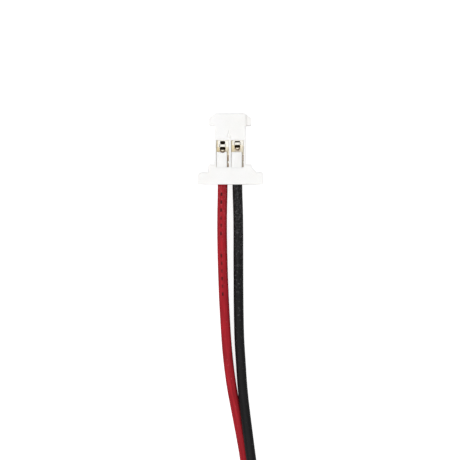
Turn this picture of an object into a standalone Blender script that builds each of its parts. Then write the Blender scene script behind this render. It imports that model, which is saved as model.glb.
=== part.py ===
"""LiPo battery pack: pouch cell, protection board, two leads and a two-way crimp plug.

Units are metres and +Z is up. The pack lies on Z = 0 with its middle on the Z axis, its leads leave
along +Y, and the plug lies on the same surface at the far end of the leads.
"""

import math

import bmesh
import bpy
from mathutils import Matrix, Vector

MM = 0.001

# Clearances
TOUCH_GAP = 0.02 * MM          # between pieces that touch
LOOSE_GAP = 0.10 * MM          # between pieces that only lie side by side

# Pack
PACK_LENGTH = 33.0 * MM        # rear of the pouch to the front of the head tape
PACK_WIDTH = 20.0 * MM         # over the folded side seals
PACK_THICKNESS = 5.0 * MM      # over the pouch, without tape or label
LAMINATE = 0.15 * MM           # wall of the drawn cup
COVER_SHEET = 0.12 * MM
SIDE_SEAL_THICKNESS = 0.30 * MM
SIDE_SEAL_HEIGHT = 3.2 * MM
CUP_CORNER_RADIUS = 1.3 * MM   # upright corners of the cup
CUP_EDGE_RADIUS = 0.8 * MM     # around the cup's top face
TERRACE_LENGTH = 4.0 * MM      # sealed edge in front of the cup, under the board
TERRACE_RISE = 0.12 * MM       # underside of the terrace above the underside of the cell
TERRACE_SEAL = 0.44 * MM       # upper sealed layers of the terrace

# Winding
WINDING_TURNS = 2
WINDING_CORE = 0.2 * MM        # half thickness of the hollow at the middle of the winding
SEPARATOR = 0.08 * MM
WINDING_FRONT_SPACE = 1.5 * MM  # room between the winding and the cup's front wall
ARC_STEPS = 8                  # straight pieces in half a turn
SLEEVE_SIDES = 24

# Tabs
TAB_WIDTH = 2.4 * MM
TAB_THICKNESS = 0.10 * MM
TAB_INNER_HEIGHT = 2.4 * MM    # top of the leg that stands against the winding
TAB_FILM_MARGIN = 0.5 * MM     # film beyond each side of its tab
TAB_FILM_SKIN = 0.08 * MM
TAB_FILM_OVERHANG = 0.30 * MM

# Board
BOARD_WIDTH = 17.4 * MM
BOARD_DEPTH = 3.2 * MM
BOARD_THICKNESS = 0.6 * MM
BOARD_SETBACK = 0.4 * MM       # board's front edge behind the terrace's front edge
INSULATOR = 0.10 * MM
PAD_MARGIN = 0.1 * MM          # pad beyond each side of its tab
PAD_DEPTH = 2.2 * MM
PAD_THICKNESS = 0.15 * MM
PAD_FROM_EDGE = 0.2 * MM       # outer side of a pad to the end of the board
CHIP_SIZE = (2.9 * MM, 1.6 * MM, 1.1 * MM)
CHIP_STANDOFF = 0.08 * MM
CHIP_BEVEL = 0.06 * MM
CHIP_PIN_PITCH = 0.95 * MM
CHIP_PIN_WIDTH = 0.36 * MM
CHIP_PIN_THICKNESS = 0.12 * MM
CHIP_PIN_REACH = 0.55 * MM
PASSIVE_SIZE = (0.5 * MM, 1.0 * MM, 0.35 * MM)
PASSIVE_BEVEL = 0.04 * MM
PART_SPACING = 0.22 * MM       # between a pad, a resistor and a chip
SOLDER_SIZE = (0.9 * MM, 1.3 * MM, 0.95 * MM)
SOLDER_RADIUS = 0.22 * MM

# Tape and label
TAPE = 0.08 * MM
TAPE_WIDTH = 18.6 * MM
TAPE_OVERLAP = 3.0 * MM        # tape on the cell's top face
TAPE_BEND_RADIUS = 0.35 * MM
TAPE_SAG = ((0.28, 0.62), (0.62, 0.23), (1.0, 0.02))  # share of the slope's run, share of its height
LABEL_SIZE = (14.0 * MM, 15.0 * MM, 0.08 * MM)
LABEL_RADIUS = 0.8 * MM
LABEL_BACK = 5.5 * MM          # rear edge of the label from the rear of the pack

# Leads
LEAD_DIAMETER = 0.84 * MM
STRAND_DIAMETER = 0.38 * MM
LEAD_SPACING = 2.2 * MM        # at the pack's head
LEAD_STEP = 2.0 * MM           # between points of the lead's tube
LEAD_BEHIND_TAPE = 2.4 * MM    # insulation inside the head
STRAND_LENGTH = 1.4 * MM       # bared end at the board
LEAD_PLUG_LENGTH = 1.25 * MM   # insulation inside the plug

# Plug, in its own frame: +Y from the wire side to the mating end, Z = 0 on the surface
PLUG_X = -3.3 * MM
PLUG_Y = 55.0 * MM
PLUG_REST = 0.02 * MM
CONTACT_PITCH = 1.25 * MM
PLUG_HEIGHT = 2.3 * MM
PLUG_LENGTH = 6.03 * MM
MOULD_RADIUS = 0.05 * MM       # on the housing's outer edges
FLANGE_OVERHANG = 1.44 * MM    # beyond each side of the body
FLANGE_LENGTH = 1.03 * MM
FLANGE_LEFT_CHAMFER = 0.25 * MM
FLANGE_RIGHT_CHAMFER = 0.08 * MM
STEP_OVERHANG = 0.50 * MM
STEP_END = 1.69 * MM
STEP_GUSSET = 0.40 * MM        # sloped fillet on the right of the step
EAR_OVERHANG = 0.475 * MM
EAR_LENGTH = 1.04 * MM
EAR_CHAMFER = 0.40 * MM
EAR_CHAMFER_WIDTH = 0.575 * MM
CAVITY_HEIGHT = 1.08 * MM
SIDE_WALL = 0.175 * MM         # beside each cavity
FRONT_WALL = 0.48 * MM
PIN_ENTRY = 0.62 * MM
PIN_ENTRY_CHAMFER = 0.14 * MM
WINDOW_START = 1.46 * MM
WINDOW_END = 3.76 * MM
DIMPLE_START = 4.0 * MM
DIMPLE_LENGTH = 0.65 * MM
DIMPLE_WIDTH = 0.34 * MM
DIMPLE_DEPTH = 0.07 * MM
DIMPLE_SHIFT = -0.10 * MM
UNDERCUT_DEPTH = 0.25 * MM     # moulding recess under the body
UNDERCUT_MARGIN = 0.45 * MM

# Locking tongues
TANG_WIDTH = 0.71 * MM
TANG_LENGTH = 1.28 * MM
TANG_THICKNESS = 0.36 * MM
TANG_SHIFT = -0.07 * MM
TANG_RECESS = 0.04 * MM        # top of the tongue below the top of the housing
TANG_HOOK_WIDTH = 0.44 * MM
TANG_HOOK_LENGTH = 0.24 * MM
TANG_HOOK_DROP = 0.34 * MM

# Contacts
CONTACT_SHEET = 0.12 * MM
INSULATION_CRIMP_SHEET = 0.08 * MM
INSULATION_CRIMP_START = 0.20 * MM
INSULATION_CRIMP_END = 1.18 * MM
CHANNEL_START = 1.40 * MM
WIRE_CRIMP_START = 1.50 * MM
WIRE_CRIMP_END = 2.20 * MM
CRIMP_WALL = 0.16 * MM
LOCK_HOLE_START = 2.42 * MM
LOCK_HOLE_END = 3.17 * MM
LOCK_HOLE_MARGIN = 0.08 * MM   # beside the tongue's hook
STRAP_END = 3.42 * MM
STRAP_BULGE = 0.05 * MM
FRONT_HOLE_END = 3.72 * MM
FRONT_HOLE_WIDTH = 0.42 * MM

# Places that follow from the sizes above
PACK_REAR = -PACK_LENGTH / 2
PACK_FRONT = PACK_LENGTH / 2
TERRACE_BOTTOM = TERRACE_RISE
TERRACE_TOP = TERRACE_BOTTOM + COVER_SHEET + TOUCH_GAP + TERRACE_SEAL
PAD_WIDTH = TAB_WIDTH + 2 * PAD_MARGIN
TAB_FILM_WIDTH = TAB_WIDTH + 2 * TAB_FILM_MARGIN
TAB_SPACING = BOARD_WIDTH - PAD_WIDTH - 2 * PAD_FROM_EDGE
RESISTOR_OFFSET = TAB_SPACING / 2 - PAD_WIDTH / 2 - PART_SPACING - PASSIVE_SIZE[0] / 2
CHIP_OFFSET = RESISTOR_OFFSET - PASSIVE_SIZE[0] / 2 - PART_SPACING - CHIP_SIZE[0] / 2
TAB_FILM_BOTTOM = TERRACE_BOTTOM + COVER_SHEET + TOUCH_GAP
TAB_FILM_HEIGHT = 2 * (TAB_FILM_SKIN + TOUCH_GAP) + TAB_THICKNESS
TAB_Z = TAB_FILM_BOTTOM + TAB_FILM_HEIGHT / 2
BOARD_BOTTOM = TERRACE_TOP + INSULATOR + 2 * TOUCH_GAP
BOARD_TOP = BOARD_BOTTOM + BOARD_THICKNESS
TAB_END_Z = BOARD_TOP + PAD_THICKNESS + 2 * TOUCH_GAP + TAB_THICKNESS / 2
TAB_BEND_RADIUS = (TAB_END_Z - TAB_Z) / 2
TAB_BEND_Y = PACK_FRONT - TAPE - LOOSE_GAP - TAB_THICKNESS / 2 - TAB_BEND_RADIUS
TERRACE_FRONT = TAB_BEND_Y - LOOSE_GAP
CUP_FRONT = TERRACE_FRONT - TERRACE_LENGTH
CUP_HALF_WIDTH = PACK_WIDTH / 2 - SIDE_SEAL_THICKNESS - TOUCH_GAP
TERRACE_WIDTH = 2 * CUP_HALF_WIDTH - CUP_CORNER_RADIUS
BOARD_FRONT = TERRACE_FRONT - BOARD_SETBACK
BOARD_REAR = BOARD_FRONT - BOARD_DEPTH
BOARD_MIDDLE = (BOARD_FRONT + BOARD_REAR) / 2
LEAD_RADIUS = LEAD_DIAMETER / 2
LEAD_START_Y = PACK_FRONT - LEAD_BEHIND_TAPE
LEAD_PACK_Z = 2.0 * MM
PLUG_TOP = PLUG_REST + PLUG_HEIGHT
CAVITY_WIDTH = LEAD_DIAMETER + 2 * (INSULATION_CRIMP_SHEET + 2 * TOUCH_GAP)
WINDOW_WIDTH = CAVITY_WIDTH - TOUCH_GAP
BODY_WIDTH = CONTACT_PITCH + CAVITY_WIDTH + 2 * SIDE_WALL
FLANGE_WIDTH = BODY_WIDTH + 2 * FLANGE_OVERHANG
STEP_WIDTH = BODY_WIDTH + 2 * STEP_OVERHANG
EAR_WIDTH = BODY_WIDTH + 2 * EAR_OVERHANG
LOCK_HOLE_WIDTH = TANG_HOOK_WIDTH + 2 * LOCK_HOLE_MARGIN
CAVITY_Z = PLUG_REST + PLUG_HEIGHT / 2
CAVITY_END = PLUG_LENGTH - FRONT_WALL
TANG_TOP = PLUG_TOP - TANG_RECESS
TANG_AXIS_Y = WINDOW_START + TOUCH_GAP + TANG_THICKNESS / 2
CONTACT_WIDTH = CAVITY_WIDTH - 2 * TOUCH_GAP
CONTACT_BOTTOM = CAVITY_Z - CAVITY_HEIGHT / 2 + TOUCH_GAP
CONTACT_TOP = CAVITY_Z + CAVITY_HEIGHT / 2 - TOUCH_GAP - STRAP_BULGE

# Routes of the leads' centre lines, from the board to the plug, chosen by hand
RED_ROUTE = [
    (-0.00110, 0.01410, 0.00200), (-0.00110, 0.01650, 0.00200), (-0.00110, 0.01850, 0.00196),
    (-0.00113, 0.02100, 0.00148), (-0.00124, 0.02350, 0.00082), (-0.00145, 0.02620, 0.00048),
    (-0.00172, 0.02900, 0.00044), (-0.00204, 0.03170, 0.00044), (-0.00238, 0.03370, 0.00044),
    (-0.00280, 0.03590, 0.00044), (-0.00315, 0.03780, 0.00044), (-0.00341, 0.03970, 0.00044),
    (-0.00360, 0.04170, 0.00044), (-0.00375, 0.04410, 0.00044), (-0.00386, 0.04640, 0.00050),
    (-0.003935, 0.04880, 0.00071), (-0.00397, 0.05080, 0.00095), (-0.003965, 0.05260, 0.00112),
    (-0.003935, 0.05400, 0.00117), (-0.003925, 0.05500, 0.00117), (-0.003925, 0.05625, 0.00117),
]
BLACK_ROUTE = [
    (0.00110, 0.01410, 0.00200), (0.00110, 0.01650, 0.00200), (0.00110, 0.01850, 0.00197),
    (0.00093, 0.02080, 0.00173), (0.00044, 0.02330, 0.00142), (-0.00032, 0.02580, 0.00121),
    (-0.00104, 0.02850, 0.00115), (-0.00150, 0.03170, 0.00115), (-0.00176, 0.03370, 0.00110),
    (-0.00204, 0.03590, 0.00090), (-0.00224, 0.03780, 0.00064), (-0.00237, 0.03970, 0.00050),
    (-0.00250, 0.04180, 0.00044), (-0.00256, 0.04420, 0.00044), (-0.00258, 0.04640, 0.00050),
    (-0.00259, 0.04880, 0.00071), (-0.00259, 0.05080, 0.00095), (-0.00261, 0.05260, 0.00112),
    (-0.002655, 0.05400, 0.00117), (-0.002675, 0.05500, 0.00117), (-0.002675, 0.05625, 0.00117),
]

# Materials: linear colour, roughness, metallic
FINISHES = {
    "pouch_foil": ((0.60, 0.61, 0.63), 0.32, 1.0),
    "cathode_coating": ((0.03, 0.03, 0.035), 0.85, 0.0),
    "anode_coating": ((0.05, 0.04, 0.035), 0.80, 0.0),
    "separator_film": ((0.85, 0.85, 0.83), 0.55, 0.0),
    "tab_aluminium": ((0.78, 0.78, 0.80), 0.30, 1.0),
    "tab_nickel": ((0.62, 0.60, 0.55), 0.28, 1.0),
    "seal_film": ((0.80, 0.79, 0.72), 0.45, 0.0),
    "insulating_paper": ((0.42, 0.50, 0.40), 0.85, 0.0),
    "board_laminate": ((0.02, 0.16, 0.05), 0.45, 0.0),
    "chip_resin": ((0.02, 0.02, 0.022), 0.55, 0.0),
    "resistor_ceramic": ((0.03, 0.03, 0.04), 0.40, 0.0),
    "capacitor_ceramic": ((0.42, 0.27, 0.15), 0.45, 0.0),
    "solder": ((0.66, 0.67, 0.68), 0.25, 1.0),
    "polyimide_tape": ((0.55, 0.24, 0.03), 0.25, 0.0),
    "paper_label": ((0.86, 0.86, 0.84), 0.60, 0.0),
    "red_insulation": ((0.36, 0.03, 0.035), 0.55, 0.0),
    "black_insulation": ((0.022, 0.021, 0.021), 0.55, 0.0),
    "tinned_copper": ((0.72, 0.66, 0.58), 0.35, 1.0),
    "white_nylon": ((0.86, 0.85, 0.82), 0.42, 0.0),
    "contact_bronze": ((0.68, 0.52, 0.28), 0.28, 1.0),
}


def clear_scene():
    """Remove every object that the scene holds."""
    for item in list(bpy.data.objects):
        bpy.data.objects.remove(item, do_unlink=True)


def finish(name):
    """Return the named material, made once."""
    if name in bpy.data.materials:
        return bpy.data.materials[name]
    colour, roughness, metallic = FINISHES[name]
    material = bpy.data.materials.new(name)
    material.use_nodes = True
    shader = material.node_tree.nodes["Principled BSDF"]
    shader.inputs["Base Color"].default_value = (*colour, 1.0)
    shader.inputs["Roughness"].default_value = roughness
    shader.inputs["Metallic"].default_value = metallic
    material.diffuse_color = (*colour, 1.0)
    return material


def link(name, data, material):
    """Put an object on the scene with one material."""
    item = bpy.data.objects.new(name, data)
    bpy.context.scene.collection.objects.link(item)
    if material:
        data.materials.append(finish(material))
    return item


def from_bmesh(name, shape, material=None):
    """Turn a closed bmesh into an object with outward faces."""
    bmesh.ops.recalc_face_normals(shape, faces=shape.faces)
    mesh = bpy.data.meshes.new(name)
    shape.to_mesh(mesh)
    shape.free()
    return link(name, mesh, material)


def box(name, x_range, y_range, z_range, material=None):
    """Make a plain box from its ranges."""
    shape = bmesh.new()
    bmesh.ops.create_cube(shape, size=1.0)
    size = Vector((x_range[1] - x_range[0], y_range[1] - y_range[0], z_range[1] - z_range[0]))
    middle = Vector((sum(x_range) / 2, sum(y_range) / 2, sum(z_range) / 2))
    bmesh.ops.scale(shape, verts=shape.verts, vec=size)
    bmesh.ops.translate(shape, verts=shape.verts, vec=middle)
    return from_bmesh(name, shape, material)


def centred(middle, width):
    """Return the range of a given width around a middle."""
    return (middle - width / 2, middle + width / 2)


def extrude(shape, faces, step):
    """Extrude a flat set of faces into a closed solid."""
    result = bmesh.ops.extrude_face_region(shape, geom=faces, use_keep_orig=True)
    moved = [item for item in result["geom"] if isinstance(item, bmesh.types.BMVert)]
    bmesh.ops.translate(shape, verts=moved, vec=step)


def plan_prism(name, outline, z_range, material=None):
    """Extrude an outline in X and Y between two heights."""
    shape = bmesh.new()
    corners = [shape.verts.new((x, y, z_range[0])) for x, y in outline]
    face = shape.faces.new(corners)
    extrude(shape, [face], Vector((0, 0, z_range[1] - z_range[0])))
    return from_bmesh(name, shape, material)


def section_prism(name, outline, x_range, material=None):
    """Extrude an outline in Y and Z between two places in X."""
    shape = bmesh.new()
    corners = [shape.verts.new((x_range[0], y, z)) for y, z in outline]
    face = shape.faces.new(corners)
    extrude(shape, [face], Vector((x_range[1] - x_range[0], 0, 0)))
    return from_bmesh(name, shape, material)


def rod(name, radius, start, end, material=None, segments=16):
    """Make a round rod between two points."""
    shape = bmesh.new()
    start = Vector(start)
    end = Vector(end)
    turn = (end - start).to_track_quat("Z", "Y").to_matrix().to_4x4()
    place = Matrix.Translation((start + end) / 2) @ turn
    bmesh.ops.create_cone(shape, cap_ends=True, segments=segments, radius1=radius, radius2=radius,
                          depth=(end - start).length, matrix=place)
    return from_bmesh(name, shape, material)


def ribbon(name, path, thickness, across, material=None, along_y=False):
    """Extrude a sheet that follows a path.

    The path holds (y, z) pairs and the sheet is as wide as the range across in X. With along_y the
    path holds (x, z) pairs and the range is in Y.
    """
    points = [Vector(point) for point in path]
    sides = []
    for index, point in enumerate(points):
        before = points[max(index - 1, 0)]
        after = points[min(index + 1, len(points) - 1)]
        along = (after - before).normalized()
        normal = Vector((-along.y, along.x))
        previous = (point - before).normalized() if index else along
        stretch = 1.0 / max(abs(previous.dot(along)), 0.5)
        sides.append((point + normal * thickness / 2 * stretch, point - normal * thickness / 2 * stretch))
    shape = bmesh.new()

    def corner(pair):
        place = (pair.x, across[0], pair.y) if along_y else (across[0], pair.x, pair.y)
        return shape.verts.new(place)

    rows = [(corner(left), corner(right)) for left, right in sides]
    faces = []
    for first, second in zip(rows, rows[1:]):
        faces.append(shape.faces.new((first[0], second[0], second[1], first[1])))
    width = across[1] - across[0]
    extrude(shape, faces, Vector((0, width, 0)) if along_y else Vector((width, 0, 0)))
    return from_bmesh(name, shape, material)


def arc(centre, radius, start, end, steps):
    """Return points on an arc between two angles in degrees."""
    points = []
    for index in range(steps + 1):
        angle = math.radians(start + (end - start) * index / steps)
        points.append((centre[0] + radius * math.cos(angle), centre[1] + radius * math.sin(angle)))
    return points


def apply_modifiers(item):
    """Replace an object's mesh with its evaluated mesh."""
    graph = bpy.context.evaluated_depsgraph_get()
    mesh = bpy.data.meshes.new_from_object(item.evaluated_get(graph))
    item.modifiers.clear()
    item.data = mesh
    return item


def boolean(target, tool, operation):
    """Apply one exact Boolean to the target and delete its tool."""
    modifier = target.modifiers.new(operation, "BOOLEAN")
    modifier.operation = operation
    modifier.solver = "EXACT"
    modifier.object = tool
    apply_modifiers(target)
    bpy.data.objects.remove(tool, do_unlink=True)
    return target


def round_edges(item, width, segments=2, angle=40.0):
    """Add a bevel to the sharp edges of an object."""
    bevel = item.modifiers.new("edges", "BEVEL")
    bevel.width = width
    bevel.segments = segments
    bevel.limit_method = "ANGLE"
    bevel.angle_limit = math.radians(angle)
    return item


def smooth(item, angle=35.0):
    """Shade an object smooth, with its sharp edges kept."""
    item.data.shade_smooth()
    item.data.set_sharp_from_angle(angle=math.radians(angle))
    return item


def rounded_shell(name, x_range, y_range, z_range, corner_radius, edge_radius, material=None):
    """Make a box with round upright corners and a round top edge."""
    shape = bmesh.new()
    bmesh.ops.create_cube(shape, size=1.0)
    size = Vector((x_range[1] - x_range[0], y_range[1] - y_range[0], z_range[1] - z_range[0]))
    middle = Vector((sum(x_range) / 2, sum(y_range) / 2, sum(z_range) / 2))
    bmesh.ops.scale(shape, verts=shape.verts, vec=size)
    bmesh.ops.translate(shape, verts=shape.verts, vec=middle)
    upright = [edge for edge in shape.edges if abs(edge.verts[0].co.z - edge.verts[1].co.z) > size.z / 2]
    bmesh.ops.bevel(shape, geom=upright, offset=corner_radius, segments=6, profile=0.5, affect="EDGES")
    top = [edge for edge in shape.edges if all(vert.co.z > z_range[1] - size.z / 4 for vert in edge.verts)]
    bmesh.ops.bevel(shape, geom=top, offset=edge_radius, segments=4, profile=0.5, affect="EDGES")
    return from_bmesh(name, shape, material)


def place(item, parent, location=(0.0, 0.0, 0.0)):
    """Parent an object and set where it sits under its parent."""
    item.parent = parent
    item.location = location
    return item


def make_pouch_cup(frame):
    """Drawn cup of the pouch, open below, with the sealed terrace in front."""
    bottom = COVER_SHEET + TOUCH_GAP
    cup = rounded_shell("pouch_cup", (-CUP_HALF_WIDTH, CUP_HALF_WIDTH), (PACK_REAR, CUP_FRONT),
                        (bottom, PACK_THICKNESS), CUP_CORNER_RADIUS, CUP_EDGE_RADIUS, "pouch_foil")
    inner_half = CUP_HALF_WIDTH - LAMINATE
    hollow = rounded_shell("hollow", (-inner_half, inner_half), (PACK_REAR + LAMINATE, CUP_FRONT - LAMINATE),
                           (-PACK_THICKNESS, PACK_THICKNESS - LAMINATE),
                           CUP_CORNER_RADIUS - LAMINATE, CUP_EDGE_RADIUS - LAMINATE)
    boolean(cup, hollow, "DIFFERENCE")
    terrace = box("terrace", centred(0.0, TERRACE_WIDTH), (CUP_FRONT - LAMINATE / 2, TERRACE_FRONT),
                  (TERRACE_TOP - TERRACE_SEAL, TERRACE_TOP))
    boolean(cup, terrace, "UNION")
    for side in (-1, 1):
        slot = box("slot", centred(side * TAB_SPACING / 2, TAB_FILM_WIDTH + 2 * TOUCH_GAP),
                   (CUP_FRONT - 2 * LAMINATE, PACK_FRONT),
                   (-PACK_THICKNESS, TAB_FILM_BOTTOM + TAB_FILM_HEIGHT + TOUCH_GAP))
        boolean(cup, slot, "DIFFERENCE")
    smooth(cup)
    place(cup, frame)


def make_pouch_cover(frame):
    """Flat side of the pouch, with its side seals folded up along the cup."""
    half = PACK_WIDTH / 2
    inner = half - SIDE_SEAL_THICKNESS
    top = SIDE_SEAL_HEIGHT
    section = [(-half, 0), (half, 0), (half, top), (inner, top), (inner, COVER_SHEET), (-inner, COVER_SHEET),
               (-inner, top), (-half, top)]
    shape = bmesh.new()
    corners = [shape.verts.new((x, PACK_REAR, z)) for x, z in section]
    face = shape.faces.new(corners)
    extrude(shape, [face], Vector((0, CUP_FRONT - PACK_REAR, 0)))
    cover = from_bmesh("pouch_cover", shape, "pouch_foil")
    terrace = box("terrace", centred(0.0, TERRACE_WIDTH), (CUP_FRONT - COVER_SHEET, TERRACE_FRONT),
                  (TERRACE_BOTTOM, TERRACE_BOTTOM + COVER_SHEET))
    riser = box("riser", centred(0.0, TERRACE_WIDTH), (CUP_FRONT - COVER_SHEET, CUP_FRONT + COVER_SHEET),
                (COVER_SHEET / 2, TERRACE_BOTTOM + COVER_SHEET / 2))
    boolean(terrace, riser, "UNION")
    rim = box("rim", (-PACK_WIDTH, PACK_WIDTH), (PACK_REAR, CUP_FRONT + TOUCH_GAP),
              (COVER_SHEET, PACK_THICKNESS))
    boolean(terrace, rim, "DIFFERENCE")
    boolean(cover, terrace, "UNION")
    place(cover, frame)


def spiral_path(start_radius, pitch, straight):
    """Return the (x, z) path of one flattened spiral around the winding's middle."""
    points = []
    for half_turn in range(2 * WINDING_TURNS):
        side = 1 if half_turn % 2 == 0 else -1
        for index in range(ARC_STEPS + 1):
            share = index / ARC_STEPS
            radius = start_radius + pitch * (half_turn + share) / 2
            angle = math.pi * (0.5 - share)
            points.append((side * (straight / 2 + radius * math.cos(angle)), side * radius * math.sin(angle)))
    return points


def make_winding(frame):
    """Cathode, anode and two separators, wound flat into one roll."""
    low = COVER_SHEET
    high = PACK_THICKNESS - LAMINATE
    middle = (low + high) / 2
    reach = (high - low) / 2 - LOOSE_GAP
    share = WINDING_TURNS + 1
    pitch = (reach - WINDING_CORE) / share
    electrode = (pitch - 2 * SEPARATOR - 4 * TOUCH_GAP) / 2
    straight = 2 * (CUP_HALF_WIDTH - LAMINATE - LOOSE_GAP - reach)
    across = (PACK_REAR + CUP_CORNER_RADIUS, CUP_FRONT - LAMINATE - WINDING_FRONT_SPACE)
    step = (electrode + SEPARATOR) / 2 + TOUCH_GAP
    first = WINDING_CORE + electrode / 2
    layers = [
        ("cathode_foil", electrode, "cathode_coating"),
        ("inner_separator", SEPARATOR, "separator_film"),
        ("anode_foil", electrode, "anode_coating"),
        ("outer_separator", SEPARATOR, "separator_film"),
    ]
    for index, (name, thickness, material) in enumerate(layers):
        path = spiral_path(first + index * step, pitch, straight)
        layer = ribbon(name, path, thickness, across, material, along_y=True)
        smooth(layer, 50.0)
        place(layer, frame, (0.0, 0.0, middle))


def make_tabs(frame):
    """Cell tabs, their seal films and the board's weld pads."""
    start_y = CUP_FRONT - LAMINATE - WINDING_FRONT_SPACE + LOOSE_GAP + TAB_THICKNESS / 2
    corner = 4 * TAB_THICKNESS
    path = [(start_y, TAB_INNER_HEIGHT)]
    path += arc((start_y + corner, TAB_Z + corner), corner, 180, 270, 4)
    path += arc((TAB_BEND_Y, TAB_Z + TAB_BEND_RADIUS), TAB_BEND_RADIUS, -90, 90, 10)
    path += [(BOARD_MIDDLE - PAD_DEPTH / 2, TAB_END_Z)]
    film_y = (CUP_FRONT - LAMINATE - TAB_FILM_OVERHANG, TERRACE_FRONT + LOOSE_GAP / 2)
    film_z = (TAB_FILM_BOTTOM, TAB_FILM_BOTTOM + TAB_FILM_HEIGHT)
    for side, pole, material in ((-1, "positive", "tab_aluminium"), (1, "negative", "tab_nickel")):
        middle = side * TAB_SPACING / 2
        tab = ribbon(pole + "_tab", path, TAB_THICKNESS, centred(0.0, TAB_WIDTH), material)
        place(smooth(tab), frame, (middle, 0.0, 0.0))
        film = box(pole + "_tab_film", centred(0.0, TAB_FILM_WIDTH), film_y, film_z, "seal_film")
        slit = box("slit", centred(0.0, TAB_WIDTH + 2 * TOUCH_GAP), (PACK_REAR, 2 * PACK_FRONT),
                   centred(TAB_Z, TAB_THICKNESS + 2 * TOUCH_GAP))
        boolean(film, slit, "DIFFERENCE")
        place(film, frame, (middle, 0.0, 0.0))
        pad = box(pole + "_tab_pad", centred(0.0, PAD_WIDTH), centred(0.0, PAD_DEPTH), (0.0, PAD_THICKNESS),
                  "tab_nickel")
        place(pad, frame, (middle, BOARD_MIDDLE, BOARD_TOP + TOUCH_GAP))


def make_board(frame):
    """Protection board and the paper under it."""
    paper = box("board_insulator", centred(0.0, BOARD_WIDTH), centred(0.0, BOARD_DEPTH), (0.0, INSULATOR),
                "insulating_paper")
    place(paper, frame, (0.0, BOARD_MIDDLE, TERRACE_TOP + TOUCH_GAP))
    board = box("protection_board", centred(0.0, BOARD_WIDTH), centred(0.0, BOARD_DEPTH),
                (0.0, BOARD_THICKNESS), "board_laminate")
    place(board, frame, (0.0, BOARD_MIDDLE, BOARD_BOTTOM))


def make_chip(frame, name, middle):
    """Six-pin chip package: a resin body with bent pins cast into it."""
    size_x, size_y, size_z = CHIP_SIZE
    body = box(name, centred(0.0, size_x), centred(0.0, size_y), (CHIP_STANDOFF, size_z), "chip_resin")
    round_edges(body, CHIP_BEVEL, 1)
    apply_modifiers(body)
    start = size_y / 2 - CHIP_PIN_THICKNESS
    bend = size_y / 2 + CHIP_PIN_REACH / 2
    tip = size_y / 2 + CHIP_PIN_REACH
    exit_z = size_z / 2
    foot_z = CHIP_PIN_THICKNESS / 2
    profile = [(start, exit_z), (bend, exit_z), (bend + CHIP_PIN_THICKNESS, foot_z), (tip, foot_z)]
    for side in (-1, 1):
        for column in (-1, 0, 1):
            path = [(side * y, z) for y, z in profile]
            pin = ribbon("pin", path, CHIP_PIN_THICKNESS, centred(column * CHIP_PIN_PITCH, CHIP_PIN_WIDTH))
            boolean(body, pin, "UNION")
    place(body, frame, (middle, BOARD_MIDDLE, BOARD_TOP + TOUCH_GAP))


def make_passives(frame):
    """Two chip resistors and one chip capacitor."""
    size_x, size_y, size_z = PASSIVE_SIZE
    parts = [("filter_resistor", -RESISTOR_OFFSET, 0.0, "resistor_ceramic"),
             ("sense_resistor", RESISTOR_OFFSET, 0.0, "resistor_ceramic"),
             ("filter_capacitor", 0.0, -BOARD_DEPTH / 8, "capacitor_ceramic")]
    for name, x, shift, material in parts:
        part = box(name, centred(0.0, size_x), centred(0.0, size_y), (0.0, size_z), material)
        round_edges(part, PASSIVE_BEVEL, 1)
        place(part, frame, (x, BOARD_MIDDLE + shift, BOARD_TOP + TOUCH_GAP))


def make_solder_joints(frame):
    """Solder on the board's output pads, around each lead's bared strands."""
    size_x, size_y, size_z = SOLDER_SIZE
    end = LEAD_START_Y - LOOSE_GAP
    bottom = BOARD_TOP + TOUCH_GAP
    strand_radius = STRAND_DIAMETER / 2
    for side, pole in ((-1, "positive"), (1, "negative")):
        joint = box(pole + "_solder_joint", centred(0.0, size_x), (end - size_y, end),
                    (bottom, bottom + size_z), "solder")
        round_edges(joint, SOLDER_RADIUS, 3)
        apply_modifiers(joint)
        bore = rod("bore", strand_radius + TOUCH_GAP, (0, end - 2 * size_y, LEAD_PACK_Z),
                   (0, end + size_y, LEAD_PACK_Z))
        boolean(joint, bore, "DIFFERENCE")
        place(smooth(joint), frame, (side * LEAD_SPACING / 2, 0.0, 0.0))
        strand_end = LEAD_START_Y - TOUCH_GAP
        strands = rod(pole + "_board_strands", strand_radius, (0, strand_end - STRAND_LENGTH, 0),
                      (0, strand_end, 0), "tinned_copper")
        place(smooth(strands), frame, (side * LEAD_SPACING / 2, 0.0, LEAD_PACK_Z))


def make_head_tape(frame):
    """Tape that runs over the cell's edge, down the front of the board and under the terrace."""
    half = TAPE / 2
    top = PACK_THICKNESS + TOUCH_GAP + half
    chip_top = BOARD_TOP + CHIP_SIZE[2] + LOOSE_GAP + half
    front = PACK_FRONT - half
    bottom = TERRACE_BOTTOM - TOUCH_GAP - half
    bend = TAPE_BEND_RADIUS
    shoulder = chip_top + bend
    run = front - 2 * bend - CUP_FRONT
    path = [(CUP_FRONT - TAPE_OVERLAP, top), (CUP_FRONT - CUP_EDGE_RADIUS, top), (CUP_FRONT, top - TAPE)]
    for share, height in TAPE_SAG:
        path.append((CUP_FRONT + share * run, shoulder + height * (top - shoulder)))
    path += arc((front - bend, shoulder - bend), bend, 75, 0, 4)
    path += arc((front - bend, bottom + bend), bend, 0, -90, 4)
    path += [(CUP_FRONT + COVER_SHEET + LOOSE_GAP, bottom)]
    tape = ribbon("head_tape", path, TAPE, centred(0.0, TAPE_WIDTH), "polyimide_tape")
    for side in (-1, 1):
        middle = side * LEAD_SPACING / 2
        hole = rod("hole", LEAD_RADIUS + TOUCH_GAP, (middle, PACK_FRONT - LEAD_DIAMETER, LEAD_PACK_Z),
                   (middle, PACK_FRONT + LEAD_DIAMETER, LEAD_PACK_Z))
        boolean(tape, hole, "DIFFERENCE")
    place(smooth(tape, 50.0), frame)


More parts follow.
